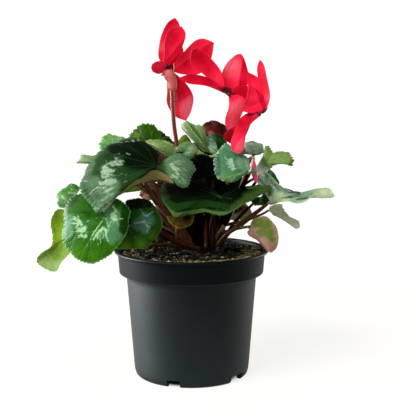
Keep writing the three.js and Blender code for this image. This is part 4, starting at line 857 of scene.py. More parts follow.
def add(tree, kind, inputs=None, take=None, stops=None, span=(), **settings):
    """Adds a shader node with its settings, fills or links its inputs, and gives the output to take.

    The stops are the places and colours of a colour ramp. The span holds the two limits that a map range
    reads its value between, then the two that it gives.
    """
    made = tree.nodes.new("ShaderNode" + kind)
    for key, value in {**USUAL.get(kind, {}), **settings}.items():
        setattr(made, key, value)
    limits = zip(("From Min", "From Max", "To Min", "To Max"), span)
    for key, value in [*(inputs or {}).items(), *limits]:
        if isinstance(value, bpy.types.NodeSocket):
            tree.links.new(value, made.inputs[key])
        else:
            made.inputs[key].default_value = value
    if stops:
        bar = made.color_ramp.elements
        while len(bar) < len(stops):
            bar.new(1)
        for element, (position, shade) in zip(bar, stops):
            element.position = position
            element.color = shade
    return made.outputs[TAKEN.get(kind, 0) if take is None else take] if len(made.outputs) else made


def scale_for(millimetres):
    """The texture scale, on coordinates in metres, of a pattern with this period."""
    return 1 / (millimetres * MM)


def roughened(tree, share, cloud, spread, low, high, most=1.0):
    """A soft share broken up by a noise, and turned into a ragged mask."""
    moved = add(tree, "Math", {0: cloud, 1: 0.5}, operation="SUBTRACT")
    moved = add(tree, "Math", {0: moved, 1: spread, 2: share}, operation="MULTIPLY_ADD")
    return add(tree, "MapRange", {"Value": moved}, span=(low, high, 0, most), interpolation_type="SMOOTHSTEP")


def vein_distance(tree, fan, out, wander, spacing):
    """Millimetres to the nearest vein. The main veins fan out from the stalk and fork twice on the way."""
    shifted = add(tree, "Math", {0: wander, 1: 0.5}, operation="SUBTRACT")
    bent = add(tree, "Math", {0: shifted, 1: 0.3, 2: fan}, operation="MULTIPLY_ADD")
    near = add(tree, "Math", {0: bent, 1: 0.5}, operation="PINGPONG")
    for share, low in VEIN_FORKS:
        spread = add(tree, "MapRange", {"Value": out}, span=(low, VEIN_END, 0, share),
                     interpolation_type="SMOOTHSTEP")
        apart = add(tree, "Math", {0: near, 1: spread}, operation="SUBTRACT")
        near = add(tree, "Math", {0: apart}, operation="ABSOLUTE")
    wide = add(tree, "Math", {0: out, 1: spacing}, operation="MULTIPLY")
    return add(tree, "Math", {0: near, 1: wide}, operation="MULTIPLY")


def streaks_from_stalk(tree, flat, out):
    """A noise drawn out along the lines from the stalk to the edge, without a seam."""
    turn = add(tree, "SeparateXYZ", {0: flat}, take="X")
    turn = add(tree, "Math", {0: turn, 1: 2 * math.pi}, operation="MULTIPLY")
    axes = [add(tree, "Math", {0: turn}, operation=kind) for kind in ("SINE", "COSINE")]
    axes = [add(tree, "Math", {0: axis, 1: STREAKS_ROUND / (2 * math.pi)}, operation="MULTIPLY")
            for axis in axes]
    far = add(tree, "Math", {0: out, 1: STREAKS_OUT}, operation="MULTIPLY")
    spot = add(tree, "CombineXYZ", {"X": axes[0], "Y": axes[1], "Z": far})
    return add(tree, "TexNoise", {"Vector": spot, "Scale": 1.0, "Detail": 3.0, "Roughness": 0.65})


def leaf_material(look, upper):
    """Living cyclamen leaf: waxy dark upper face with silver marks, or its matt paler underside."""
    face, deep, margin, haze, silver, vein, under = (linear(code) for code in LOOKS[look])
    material, tree, spot = start_material(f"waxy_leaf_{look}" if upper else f"leaf_underside_{look}")
    flat = add(tree, "TexCoord", take="UV")
    out = add(tree, "SeparateXYZ", {0: flat}, take="Y")
    fan, marks, misty, dark, pale = (add(tree, "Attribute", attribute_name=key)
                                     for key in ("fan", *MARKS))
    wander = add(tree, "TexNoise", {"Vector": spot, "Scale": scale_for(16), "Detail": 2.0})
    veins = vein_distance(tree, fan, out, wander, VEIN_SPACING)
    thick = add(tree, "MapRange", {"Value": out}, span=(0, 1, 0.7, 0.24))
    line = add(tree, "Math", {0: veins, 1: thick}, operation="DIVIDE")
    line = add(tree, "MapRange", {"Value": line}, span=(0.3, 1.0, 1.0, 0.0), interpolation_type="SMOOTHSTEP")
    cloud = add(tree, "TexNoise", {"Vector": spot, "Scale": scale_for(9), "Detail": 5.0, "Roughness": 0.62})
    ragged = add(tree, "TexNoise", {"Vector": spot, "Scale": scale_for(2), "Detail": 6.0, "Roughness": 0.75})
    streaks = streaks_from_stalk(tree, flat, out)
    net = add(tree, "TexVoronoi", {"Vector": spot, "Scale": scale_for(2.2)}, feature="DISTANCE_TO_EDGE")
    mesh_line = add(tree, "MapRange", {"Value": net}, span=(0.0, 0.1, 1.0, 0.0))
    edge = roughened(tree, out, cloud, 0.3, 0.84, 1.08, 0.75)
    edge = add(tree, "Math", {0: edge, 1: pale}, operation="MAXIMUM")
    base = add(tree, "Mix", {0: edge, 6: face if upper else under, 7: margin})
    # Haze: paler misty green round the silver marks; on leaf 1 it is partly a painted reflection of the sky.
    misty = roughened(tree, misty, cloud, 0.5, 0.2, 0.8, 0.92)
    base = add(tree, "Mix", {0: misty, 6: base, 7: haze})
    # Deep marks pull the blade towards its darkest colour; on leaves 19 and 28, the first three inner leaves
    # and in leaf 11's folds they are painted shade.
    dark = roughened(tree, dark, streaks, 0.4, 0.15, 0.75, 0.95)
    base = add(tree, "Mix", {0: dark, 6: base, 7: deep})
    if upper:
        feather = add(tree, "Math", {0: streaks, 1: 1.3, 2: marks}, operation="MULTIPLY_ADD")
        feather = add(tree, "Math", {0: ragged, 1: 1.5, 2: feather}, operation="MULTIPLY_ADD")
        mask = add(tree, "MapRange", {"Value": feather}, span=(1.7, 2.05, 0, 1),
                   interpolation_type="SMOOTHSTEP")
        inside = add(tree, "MapRange", {"Value": marks}, span=(0.05, 0.9, 0, 1))
        inside = add(tree, "Math", {0: inside, 1: 0.6}, operation="POWER")
        patchy = add(tree, "MapRange", {"Value": ragged}, span=(0.35, 0.6, 0.6, 0.98))
        mask = add(tree, "Math", {0: mask, 1: inside}, operation="MULTIPLY")
        mask = add(tree, "Math", {0: mask, 1: patchy}, operation="MULTIPLY")
        base = add(tree, "Mix", {0: mask, 6: base, 7: silver})
    fade = add(tree, "MapRange", {"Value": out}, span=(0.45, 0.95, 1.0, 0.3))
    strength = add(tree, "Math", {0: line, 1: fade}, operation="MULTIPLY")
    strength = add(tree, "Math", {0: strength, 1: VEIN_STRENGTH.get(look, COMMON_VEINS)},
                   operation="MULTIPLY")
    base = add(tree, "Mix", {0: strength, 6: base, 7: vein})
    border = add(tree, "MapRange", {"Value": out}, span=(0.96, 0.985, 0, 0.5))
    base = add(tree, "Mix", {0: border, 6: base, 7: vein})
    # Painted light and shade on the fine net of veinlets: darker where it is sunken on the upper face, paler
    # where it stands up underneath.
    dust = add(tree, "MapRange", {"Value": mesh_line}, span=(0, 1, 1.0, 0.86 if upper else 1.1))
    mottle = add(tree, "MapRange", {"Value": ragged}, span=(0.3, 0.72, 0.8, 1.2))
    light = add(tree, "Math", {0: dust, 1: mottle}, operation="MULTIPLY")
    base = add(tree, "VectorMath", {0: base, "Scale": light}, operation="SCALE")
    height = add(tree, "Math", {0: line, 1: -1.0 if upper else 1.2}, operation="MULTIPLY")
    height = add(tree, "Math", {0: mesh_line, 1: -0.35 if upper else 0.3, 2: height},
                 operation="MULTIPLY_ADD")
    bump = add(tree, "Bump", {"Height": height, "Strength": 0.4, "Distance": 0.3 * MM})
    gloss = add(tree, "MapRange", {"Value": cloud},
                span=(0, 1, 0.38 if upper else 0.55, 0.6 if upper else 0.75))
    shader = add(tree, "BsdfPrincipled", {"Base Color": base, "Roughness": gloss, "Normal": bump, "IOR": 1.4,
                                          "Specular IOR Level": LEAF_SHINE.get(look, COMMON_SHINE)})
    add(tree, "OutputMaterial", {"Surface": shader})
    return material


def rim_material(look):
    """Cut-thin edge of the blade, where the leaf is paler because light passes through it."""
    margin, vein = (linear(LOOKS[look][i]) for i in (2, 5))
    material, tree, spot = start_material(f"leaf_rim_{look}")
    cloud = add(tree, "TexNoise", {"Vector": spot, "Scale": scale_for(6), "Detail": 3.0})
    base = add(tree, "Mix", {0: cloud, 6: margin, 7: vein})
    shader = add(tree, "BsdfPrincipled", {"Base Color": base, "Roughness": 0.5, "IOR": 1.33})
    add(tree, "OutputMaterial", {"Surface": shader})
    return material


def petal_material(sizes):
    """Velvety petal: coral with fine lengthwise veins, crimson painted shade in its folds, stained at the
    mouth.
    """
    material, tree, spot = start_material("velvet_petal")
    flat = add(tree, "TexCoord", take="UV")
    across = add(tree, "SeparateXYZ", {0: flat}, take="X")
    along = add(tree, "SeparateXYZ", {0: flat}, take="Y")
    tone = add(tree, "Attribute", attribute_name="tone")
    cloud = add(tree, "TexNoise", {"Vector": spot, "Scale": scale_for(9), "Detail": 3.0})
    stretched = add(tree, "Mapping", {"Vector": flat, "Scale": (30.0, 2.0, 1.0)})
    ribs = add(tree, "TexNoise", {"Vector": stretched, "Scale": 1.0, "Detail": 3.0, "Roughness": 0.6})
    veined = add(tree, "MapRange", {"Value": ribs}, span=(0.25, 0.75, -0.05, 0.05))
    clouded = add(tree, "MapRange", {"Value": cloud}, span=(0.25, 0.75, -0.08, 0.08))
    shade = add(tree, "Math", {0: veined, 1: clouded}, operation="ADD")
    shade = add(tree, "Math", {0: shade, 1: tone}, operation="ADD")
    # The tone runs from the mouth stain through painted shade (deep) and the plain face to painted light
    # (lit).
    body = add(tree, "ValToRGB", {"Fac": shade}, stops=[
        (0.0, tuple(sizes.mouth)), (0.22, linear("#8c0414")), (0.45, tuple(sizes.deep)),
        (0.72, tuple(sizes.bright)), (1.0, tuple(sizes.lit))])
    stain = add(tree, "MapRange", {"Value": along}, span=(0.015, 0.08, 0.9, 0.0),
                interpolation_type="SMOOTHSTEP")
    body = add(tree, "Mix", {0: stain, 6: body, 7: tuple(sizes.mouth)})
    rim = add(tree, "Math", {0: across, 1: 0.5}, operation="PINGPONG")
    rim = add(tree, "MapRange", {"Value": rim}, span=(0.0, 0.045, 0.12, 0.0), interpolation_type="SMOOTHSTEP")
    rim = add(tree, "Math", {0: rim, 1: along}, operation="MULTIPLY")
    body = add(tree, "Mix", {0: rim, 6: body, 7: tuple(sizes.edge)})
    bump = add(tree, "Bump", {"Height": ribs, "Strength": 0.2, "Distance": 0.25 * MM})
    # The emission makes the petals glow with their own colour: painted light for daylight passing through
    # them.
    shader = add(tree, "BsdfPrincipled", {
        "Base Color": body, "Roughness": 0.6, "Normal": bump, "IOR": 1.3, "Specular IOR Level": 0.07,
        "Sheen Weight": 0.03, "Sheen Roughness": 0.4, "Sheen Tint": linear("#ff8a98"),
        "Subsurface Weight": 0.1, "Subsurface Radius": (0.004, 0.0006, 0.0006), "Subsurface Scale": 0.5,
        "Emission Color": body, "Emission Strength": sizes.shine_through})
    add(tree, "OutputMaterial", {"Surface": shader})
    return material


def stalk_material(name, tones, streak_mm, rough=0.42, shine=0.22):
    """Fleshy plant stalk: tones in long streaks under a smooth satin skin, shifted for each stalk."""
    material, tree, spot = start_material(name)
    stretched = add(tree, "Mapping", {"Vector": spot, "Scale": (1.0, 1.0, 0.18)})
    streaks = add(tree, "TexNoise", {"Vector": stretched, "Scale": scale_for(streak_mm), "Detail": 4.0})
    tone = add(tree, "Attribute", attribute_name="tone")
    shifted = add(tree, "MapRange", {"Value": streaks}, span=(0.3, 0.7, -0.1, 0.1))
    mixed = add(tree, "Math", {0: shifted, 1: tone}, operation="ADD")
    stops = [(i / (len(tones) - 1), shade) for i, shade in enumerate(tones)]
    base = add(tree, "ValToRGB", {"Fac": mixed}, stops=stops)
    bump = add(tree, "Bump", {"Height": streaks, "Strength": 0.25, "Distance": 0.2 * MM})
    glint = add(tree, "MapRange", {"Value": tone}, span=(0.7, 0.9, shine, 0.0))
    shader = add(tree, "BsdfPrincipled", {"Base Color": base, "Roughness": rough, "Normal": bump,
                                          "Specular IOR Level": glint})
    add(tree, "OutputMaterial", {"Surface": shader})
    return material


def cork_material(sizes):
    """Corky tuber skin: cracked, matt and nearly black."""
    material, tree, spot = start_material("tuber_cork")
    cracks = add(tree, "TexVoronoi", {"Vector": spot, "Scale": scale_for(3)}, feature="DISTANCE_TO_EDGE")
    cloud = add(tree, "TexNoise", {"Vector": spot, "Scale": scale_for(5), "Detail": 6.0})
    gaps = add(tree, "MapRange", {"Value": cracks}, span=(0, 0.12, 0, 1))
    base = add(tree, "Mix", {0: gaps, 6: linear("#060302"), 7: tuple(sizes.tuber)})
    base = add(tree, "Mix", {0: cloud, 6: base, 7: linear("#140c06")})
    bump = add(tree, "Bump", {"Height": gaps, "Strength": 0.6, "Distance": 0.5 * MM})
    shader = add(tree, "BsdfPrincipled", {"Base Color": base, "Roughness": 0.85, "Normal": bump,
                                          "Specular IOR Level": 0.1})
    add(tree, "OutputMaterial", {"Surface": shader})
    return material


def soil_material(sizes):
    """Damp peat: nearly black, matt, broken up with brown fibre."""
    material, tree, spot = start_material("damp_peat")
    coarse = add(tree, "TexNoise", {"Vector": spot, "Scale": scale_for(5), "Detail": 8.0, "Roughness": 0.75})
    fine = add(tree, "TexNoise", {"Vector": spot, "Scale": scale_for(1.2), "Detail": 4.0, "Roughness": 0.8})
    base = add(tree, "ValToRGB", {"Fac": coarse}, stops=[
        (0.4, linear("#030201")), (0.56, tuple(sizes.peat)), (0.74, linear("#2c2010"))])
    fleck = add(tree, "MapRange", {"Value": fine}, span=(0.6, 0.72, 0, 0.6))
    base = add(tree, "Mix", {0: fleck, 6: base, 7: linear("#6a5830")})
    relief = add(tree, "Math", {0: fine, 1: 0.5, 2: coarse}, operation="MULTIPLY_ADD")
    bump = add(tree, "Bump", {"Height": relief, "Strength": 1.0, "Distance": 1.2 * MM})
    shader = add(tree, "BsdfPrincipled", {"Base Color": base, "Roughness": 0.92, "Normal": bump,
                                          "Specular IOR Level": 0.05})
    add(tree, "OutputMaterial", {"Surface": shader})
    return material


def grit_material(sizes):
    """Mineral and bark granules: tan to olive-gold, dull, each a little different."""
    material, tree, spot = start_material("tan_granules")
    tone = add(tree, "Attribute", attribute_name="tone")
    cloud = add(tree, "TexNoise", {"Vector": spot, "Scale": scale_for(0.8), "Detail": 3.0})
    mixed = add(tree, "Math", {0: cloud, 1: 0.3, 2: tone}, operation="MULTIPLY_ADD")
    base = add(tree, "ValToRGB", {"Fac": mixed}, stops=[
        (0.1, linear("#1c1208")), (0.45, linear("#54441f")), (0.75, tuple(sizes.grit)),
        (1.0, linear("#cfc08c"))])
    bump = add(tree, "Bump", {"Height": cloud, "Strength": 0.6, "Distance": 0.3 * MM})
    shader = add(tree, "BsdfPrincipled", {"Base Color": base, "Roughness": 0.85, "Normal": bump,
                                          "Specular IOR Level": 0.3})
    add(tree, "OutputMaterial", {"Surface": shader})
    return material


def pot_material(sizes):
    """Injection-moulded black polypropylene: satin, faintly mottled, with a broad soft highlight."""
    material, tree, spot = start_material("moulded_polypropylene")
    cloud = add(tree, "TexNoise", {"Vector": spot, "Scale": scale_for(30), "Detail": 3.0})
    grain = add(tree, "TexNoise", {"Vector": spot, "Scale": scale_for(0.7), "Detail": 2.0})
    shade = add(tree, "MapRange", {"Value": cloud}, span=(0.3, 0.7, 0.85, 1.2))
    up = add(tree, "SeparateXYZ", {0: spot}, take="Z")
    # Painted floor light: the plastic turns paler towards the foot.
    low = add(tree, "MapRange", {"Value": up}, span=(4 * MM, 66 * MM, 0.9, 0.0))
    base = add(tree, "Mix", {0: low, 6: tuple(sizes.plastic), 7: tuple(sizes.dust)})
    base = add(tree, "VectorMath", {0: base, "Scale": shade}, operation="SCALE")
    rough = add(tree, "MapRange", {"Value": cloud}, span=(0, 1, 0.4, 0.5))
    band = sizes.height - sizes.band_height
    # Painted highlight: a thin light line round the pot where the step under the band catches the light.
    seam = add(tree, "Math", {0: up, 1: band - 0.4 * MM, 2: 0.35 * MM}, operation="COMPARE")
    seam = add(tree, "Math", {0: seam, 1: 0.3}, operation="MULTIPLY")
    base = add(tree, "Mix", {0: seam, 6: base, 7: linear("#6a7272")})
    shine = add(tree, "MapRange", {"Value": up}, span=(band - 2 * MM, band + 1 * MM, 0.34, 0.12))
    bump = add(tree, "Bump", {"Height": grain, "Strength": 0.12, "Distance": 0.08 * MM})
    shader = add(tree, "BsdfPrincipled", {"Base Color": base, "Roughness": rough, "Normal": bump, "IOR": 1.49,
                                          "Specular IOR Level": shine, "Specular Tint": linear("#d4ecf0")})
    add(tree, "OutputMaterial", {"Surface": shader})
    return material


def floor_material(studio):
    """White sweep that glows all round the pot, so that only a faint soft shadow is left on it."""
    material, tree, spot = start_material("white_sweep")
    cloud = add(tree, "TexNoise", {"Vector": spot, "Scale": 0.8})
    rough = add(tree, "MapRange", {"Value": cloud}, span=(0, 1, 0.9, 0.95))
    away = add(tree, "VectorMath", {0: spot}, take="Value", operation="LENGTH")
    glow = add(tree, "MapRange", {"Value": away}, span=(34 * MM, 42 * MM, 0, studio.glow),
               interpolation_type="SMOOTHSTEP")
    camera_ray = add(tree, "LightPath", take="Is Camera Ray")
    share = add(tree, "MapRange", {"Value": camera_ray}, span=(0, 1, 0.35, 1))
    glow = add(tree, "Math", {0: glow, 1: share}, operation="MULTIPLY")
    shader = add(tree, "BsdfPrincipled", {
        "Base Color": tuple(studio.floor), "Roughness": rough, "Specular IOR Level": 0.0,
        "Emission Color": (1.0, 1.0, 0.98, 1.0), "Emission Strength": glow})
    add(tree, "OutputMaterial", {"Surface": shader})
    return material


# Pot and soil

def arc_line(points, radius):
    """The points of an outline with each corner rounded by up to the given radius."""
    made = []
    for i, corner in enumerate(points):
        corner = np.array(corner, float)
        if i in (0, len(points) - 1):
            made.append(corner)
            continue
        before = np.array(points[i - 1], float) - corner
        after = np.array(points[i + 1], float) - corner
        reach = min(radius, 0.45 * np.linalg.norm(before), 0.45 * np.linalg.norm(after))
        start = corner + unit(before) * reach
        end = corner + unit(after) * reach
        for t in (0, 0.33, 0.67, 1):
            made.append((1 - t) ** 2 * start + 2 * t * (1 - t) * corner + t**2 * end)
    return made


def wall_lines(sizes):
    """Outer and inner line of the pot's wall in millimetres, from the foot's middle to the lip and in."""
    height, lip, lip_edge = sizes.height / MM, sizes.lip_radius / MM, sizes.lip_thickness / MM
    band, band_foot = sizes.band_radius / MM, (sizes.height - sizes.band_height) / MM
    body, top = sizes.body_radius / MM, sizes.body_top / MM
    foot, wall = sizes.foot_radius / MM, sizes.wall / MM
    pad, underside, corner = 9, 3.6, foot + 3
    floor = underside + wall
    outer = [
        (0, 0), (pad, 0), (pad + 0.8, underside), (foot - 3.2, underside), (foot - 2.4, 0), (foot + 0.6, 0),
        (foot + 2.2, 1.4), (corner + 0.1, 4.4), (corner + 0.5, 8), (body, top), (body + 0.3, band_foot - 3),
        (body + 0.7, band_foot - 2.6), (body + 0.7, band_foot - 2.2), (body + 0.5, band_foot - 1.7),
        (band - 1.7, band_foot - 0.4), (band - 1.2, band_foot), (band, height - lip_edge - 0.8),
        (band + 0.8, height - lip_edge), (lip, height - lip_edge + 0.1), (lip, height - 0.5),
        (lip - 0.5, height),
    ]
    inner = [
        (band - wall + 0.4, height), (band - wall - 0.2, height - 1.4), (band - wall - 1.2, band_foot + 0.6),
        (body - wall, top + 1.4), (corner + 0.2 - wall, 8.4), (corner - 2.2, floor), (0, floor),
    ]
    return outer, inner


def spun(name, line, steps):
    """An outline of (radius, height) millimetres turned once round the axis, as on a lathe."""
    deselect()
    data = bpy.data.meshes.new(name)
    points = [(r * MM, 0, z * MM) for r, z in line]
    data.from_pydata(points, [(i, i + 1) for i in range(len(points) - 1)], [])
    piece = bpy.data.objects.new(name, data)
    bpy.context.scene.collection.objects.link(piece)
    alone(piece)
    bpy.ops.object.mode_set(mode="EDIT")
    bpy.ops.mesh.select_all(action="SELECT")
    bpy.ops.mesh.spin(steps=steps, angle=2 * math.pi, center=(0, 0, 0), axis=(0, 0, 1))
    bpy.ops.mesh.select_all(action="SELECT")
    bpy.ops.mesh.remove_doubles(threshold=0.01 * MM)
    bpy.ops.mesh.normals_make_consistent(inside=False)
    bpy.ops.object.mode_set(mode="OBJECT")
    return piece


def cut(piece, tool):
    finish_with(piece, "BOOLEAN", operation="DIFFERENCE", object=tool, solver="EXACT")
    bpy.data.objects.remove(tool)


# The notches in the foot: the way each one faces, and how wide it is in millimetres.
NOTCHES = [(-108.3, 10.2), (-38, 14.4), (35, 10.2), (107, 10.2), (-177.5, 10.2)]
NOTCH_DEPTH = 16
NOTCH_HEIGHT = 11.4
# The drain hole behind each notch: how far it lies from the axis, and its radius.
HOLE_PLACE = 28
HOLE_RADIUS = 4
POT_SIDES = 160


class CYCLAMEN_OT_pot(bpy.types.Operator):
    """Turns the moulded pot on its axis and cuts its drain notches and holes"""

    bl_idname = "cyclamen.pot"
    bl_label = "Pot"

    def execute(self, context):
        sizes = context.scene.cyclamen_pot
        outer, inner = wall_lines(sizes)
        piece = spun("nursery_pot", arc_line(outer + inner, 0.35), POT_SIDES)
        for degrees, width in NOTCHES:
            turn = math.radians(degrees)
            out = Vector((math.cos(turn), math.sin(turn), 0))
            deselect()
            bpy.ops.mesh.primitive_cube_add(size=1, location=out * sizes.foot_radius, rotation=(0, 0, turn),
                                            scale=(NOTCH_DEPTH * MM, width * MM, NOTCH_HEIGHT * MM))
            cut(piece, bpy.context.object)
            bpy.ops.mesh.primitive_cylinder_add(vertices=32, radius=HOLE_RADIUS * MM, depth=20 * MM,
                                                location=out * HOLE_PLACE * MM)
            cut(piece, bpy.context.object)
        dressed(piece, pot_material(sizes), 35)
        placed(piece, "pot", "pot")
        return {"FINISHED"}


# The soil: where its rise ends, where the last granules lie, the grid of its surface, and the share of the
# granules that lie along the front of the wall.
SOIL_REACH = 53
GRIT_REACH = 53.6
SOIL_SIDES = 200
SOIL_RINGS = 46
FRONT_SHARE = 0.72


def soil_height(x, y, sizes):
    """Height of the soil's surface in millimetres: a slow rise, broad lumps and crumbs."""
    distance = math.hypot(x, y)
    lump = 0.5 * math.sin(0.31 * x + 1.3) * math.cos(0.27 * y) + 0.4 * math.sin(0.52 * y - 0.2 * x)
    crumbs = 1.1 * noise.noise(Vector((x, y, 3)) * 0.22) + 0.8 * noise.noise(Vector((x, y, 9)) * 0.6)
    return (sizes.level / MM) + (sizes.rise / MM) * (1 - distance / SOIL_REACH) + 0.7 * lump + crumbs


class CYCLAMEN_OT_soil(bpy.types.Operator):
    """Fills the pot with crumbly peat and scatters pale granules over it"""

    bl_idname = "cyclamen.soil"
    bl_label = "Soil"

    def execute(self, context):
        sizes = context.scene.cyclamen_soil
        _, inner = wall_lines(context.scene.cyclamen_pot)
        wall = [(r - 0.35, z + 0.35) for r, z in inner[2:-1][::-1]]
        edge = (wall[-1][0] + 0.4, sizes.level / MM - 0.6)
        side = [(0, wall[0][1])] + wall + [edge]
        levels = np.linspace(0, 1, len(side) + SOIL_RINGS)

        def shape(around, level):
            turn = 2 * np.pi * around
            index = np.rint(level * (len(levels) - 1)).astype(int)
            places = np.empty((len(level), 3))
            for i, (k, angle) in enumerate(zip(index, turn)):
                if k < len(side):
                    radius, height = side[k]
                else:
                    radius = edge[0] * (1 - (k - len(side) + 1) / SOIL_RINGS) ** 0.9
                    height = soil_height(radius * math.cos(angle), radius * math.sin(angle), sizes)
                places[i] = radius * math.cos(angle), radius * math.sin(angle), height
            return places, {}

        piece = sheet("potting_soil", SOIL_SIDES, levels, shape)
        weld(piece, close=True)
        dressed(piece, soil_material(sizes))
        placed(piece, "soil", "soil")
        granules = scatter_granules(sizes)
        granules.data.materials.append(grit_material(sizes))
        placed(granules, "soil")
        return {"FINISHED"}


def scatter_granules(sizes):
    """Small angular lumps on the soil, thicker along the front of the wall, copied from one ball."""
    draw = random.Random(7)
    deselect()
    bpy.ops.mesh.primitive_ico_sphere_add(subdivisions=1, radius=1)
    ball = bpy.context.object
    corners = np.array([v.co[:] for v in ball.data.vertices])
    faces = [tuple(p.vertices) for p in ball.data.polygons]
    bpy.data.objects.remove(ball)
    points, polygons, tones = [], [], []
    largest = sizes.granule / MM
    for _ in range(sizes.granules):
        front = draw.random() < FRONT_SHARE
        inward = 1 - 0.22 * draw.random() ** 1.6 if front else math.sqrt(draw.random())
        radius = GRIT_REACH * inward
        turn = math.radians(draw.gauss(-66, 52)) if front else draw.uniform(0, 2 * math.pi)
        x, y = radius * math.cos(turn), radius * math.sin(turn)
        size = 0.5 * largest * (0.25 + 0.75 * draw.random() ** 2.2)
        stretch = np.array([draw.uniform(0.8, 1.7), draw.uniform(0.7, 1.1), draw.uniform(0.5, 0.9)])
        angle = draw.uniform(0, math.pi)
        spin = np.array([[math.cos(angle), -math.sin(angle), 0], [math.sin(angle), math.cos(angle), 0],
                         [0, 0, 1]])
        rough = np.array([[draw.uniform(0.8, 1.2)] for _ in corners])
        lump = (corners * rough * stretch * size) @ spin.T
        centre = (x, y, soil_height(x, y, sizes) + 0.35 * size)
        start = len(points)
        points.extend((lump + centre).tolist())
        polygons.extend(tuple(start + i for i in face) for face in faces)
        # Granules away from the front are darker: partly their own colour, partly painted shade of the plant
        # over them; the pale front ones are the crust along the wall.
        tones.extend([min(1, max(0, draw.gauss(0.5 if front else 0.2, 0.26)))] * len(corners))
    data = bpy.data.meshes.new("soil_granules")
    data.from_pydata((np.array(points) * MM).tolist(), [], polygons)
    mark(data, tone=np.array(tones))
    piece = bpy.data.objects.new("soil_granules", data)
    bpy.context.scene.collection.objects.link(piece)
    return piece


# Leaves

# Points along a tooth, and millimetres between the rows of points of a plain blade, a marked one and a part
# that is turned over.
TEETH_POINTS = 5
ROW_STEP = 2.2
MARKED_ROW_STEP = 0.9
TURNED_STEP = 0.6
# Millimetres over which the thinnest strokes fade, and by which the blades stay inside the solids' box.
STROKE_EDGE = 1.3
INSIDE = 0.45
MARKS = ("silver", "haze", "deep", "margin")
TUBER = dict(x=9, y=6, z=95, radius=17, height=9)


class Leaf:
    """A leaf's surface: arched lines fan out from the base to the toothed edge."""

    def __init__(self, name, base, edge, dome, via, facing):
        self.name, self.base, self.dome, self.via = name, base, dome, via
        self.paint = PAINT[name]
        self.curve = Line(edge)
        self.turn()
        if np.dot(self.normal, facing) < 0:
            self.curve = Line(edge[::-1])
            self.turn()
        self.veins = max(5, round(self.curve.length / VEIN_SPACING))

    def turn(self):
        rays = self.curve.at(np.linspace(0, 1, 61)) - self.base
        self.reach = np.linalg.norm(rays, axis=1).mean()
        self.normal = unit(np.cross(rays[:-1], rays[1:]).sum(axis=0))

    def vein_share(self, along, out):
        """How far a point is from the nearest vein, in shares of the space between two main ones."""
        fan = along * self.veins
        near = np.abs(fan - np.rint(fan))
        for share, low in VEIN_FORKS:
            near = np.abs(near - share * ramp(out, low, VEIN_END))
        return near

    def teeth(self, sizes):
        return max(9, round(self.curve.length / (sizes.tooth_width / MM)))

    def notch(self, along, sizes, order):
        """How deep the margin is cut in, in millimetres: pointed teeth that differ in width and depth."""
        count = self.teeth(sizes)
        phase = order * GOLDEN
        place = along * count + 0.3 * np.sin(2 * np.pi * (7 * along + phase))
        step = np.floor(place)
        share = place - step
        rise = np.where(share < 0.6, share / 0.6, (1 - share) / 0.4)
        uneven = 0.72 + 0.28 * np.sin(2.4 * step + phase) + 0.2 * np.sin(5.1 * step)
        depth = (sizes.tooth_depth / MM) * self.paint.get("teeth", 1)
        return depth * uneven * (1 - np.clip(rise, 0, 1) ** 0.8)

    def surface(self, along, out, sizes, order):
        ray = self.curve.at(along) - self.base
        reach = np.linalg.norm(ray, axis=1)
        notch = self.notch(along, sizes, order) * ramp(out, 0.88, 1)
        arch = 4 * out * (1 - out) * self.dome * reach / self.reach
        share = np.minimum(self.vein_share(along, out) / 0.14, 1)
        puff = (sizes.quilting / MM) * np.sin(0.5 * np.pi * share) * np.sqrt(out) * (1 - 0.7 * out**4)
        phase = order * GOLDEN * 2 * np.pi
        wave = 0.03 * self.reach * out**3 * np.sin(2 * np.pi * along * (3 + order % 3) + phase)
        ruffle = 0.35 * out**6 * np.sin(2 * np.pi * along * self.veins + phase)
        curl = -0.5 * ramp(out, 0.86, 1)
        lift = arch + puff + wave + ruffle + curl
        places = self.base + ray * (out - notch / reach)[:, None] + lift[:, None] * self.normal
        low, high = (np.array(corner) / MM for corner in CAD_BOX)
        return np.clip(places, low + INSIDE, high - INSIDE)


def front_leaf(name, at, lean, edge, dome=2, under=0, via=None):
    base = seen(at)
    points = []
    for x, z, *extra in edge:
        depth = at[2] + lean[0] * (x - at[0]) + lean[1] * (z - at[1]) + sum(extra)
        points.append(seen((x, z, depth)))
    eye = np.array([0, -EYE_DISTANCE, EYE_HEIGHT]) - base
    return Leaf(name, base, points, -dome if under else dome, via, -eye if under else eye)


def turned(droop, turn, heading):
    """A leaf's own directions as rows: its tip's way, its left and its upper face."""
    a, b, c = (math.radians(v) for v in (turn, droop, heading))
    roll = np.array([[1, 0, 0], [0, math.cos(a), -math.sin(a)], [0, math.sin(a), math.cos(a)]])
    pitch = np.array([[math.cos(b), 0, math.sin(b)], [0, 1, 0], [-math.sin(b), 0, math.cos(b)]])
    yaw = np.array([[math.cos(c), -math.sin(c), 0], [math.sin(c), math.cos(c), 0], [0, 0, 1]])
    return yaw @ pitch @ roll


def heart_leaf(name, at, heading, droop, turn, size):
    """A heart: widest beside the stalk, two round lobes behind it, and a blunt tip."""
    base = np.array(at, float)
    rotation = turned(droop, turn, heading)
    points = []
    for angle in range(-156, 157, 26):
        a = math.radians(angle)
        reach = size * (1 + 0.16 * math.cos(a) - 0.1 * math.cos(2 * a))
        sag = -0.16 * size * math.sin(a) ** 2
        points.append(rotation @ np.array([reach * math.cos(a), reach * math.sin(a), sag]) + base)
    return Leaf(name, base, points, 0.1 * size, None, rotation @ np.array([0, 0, 1]))


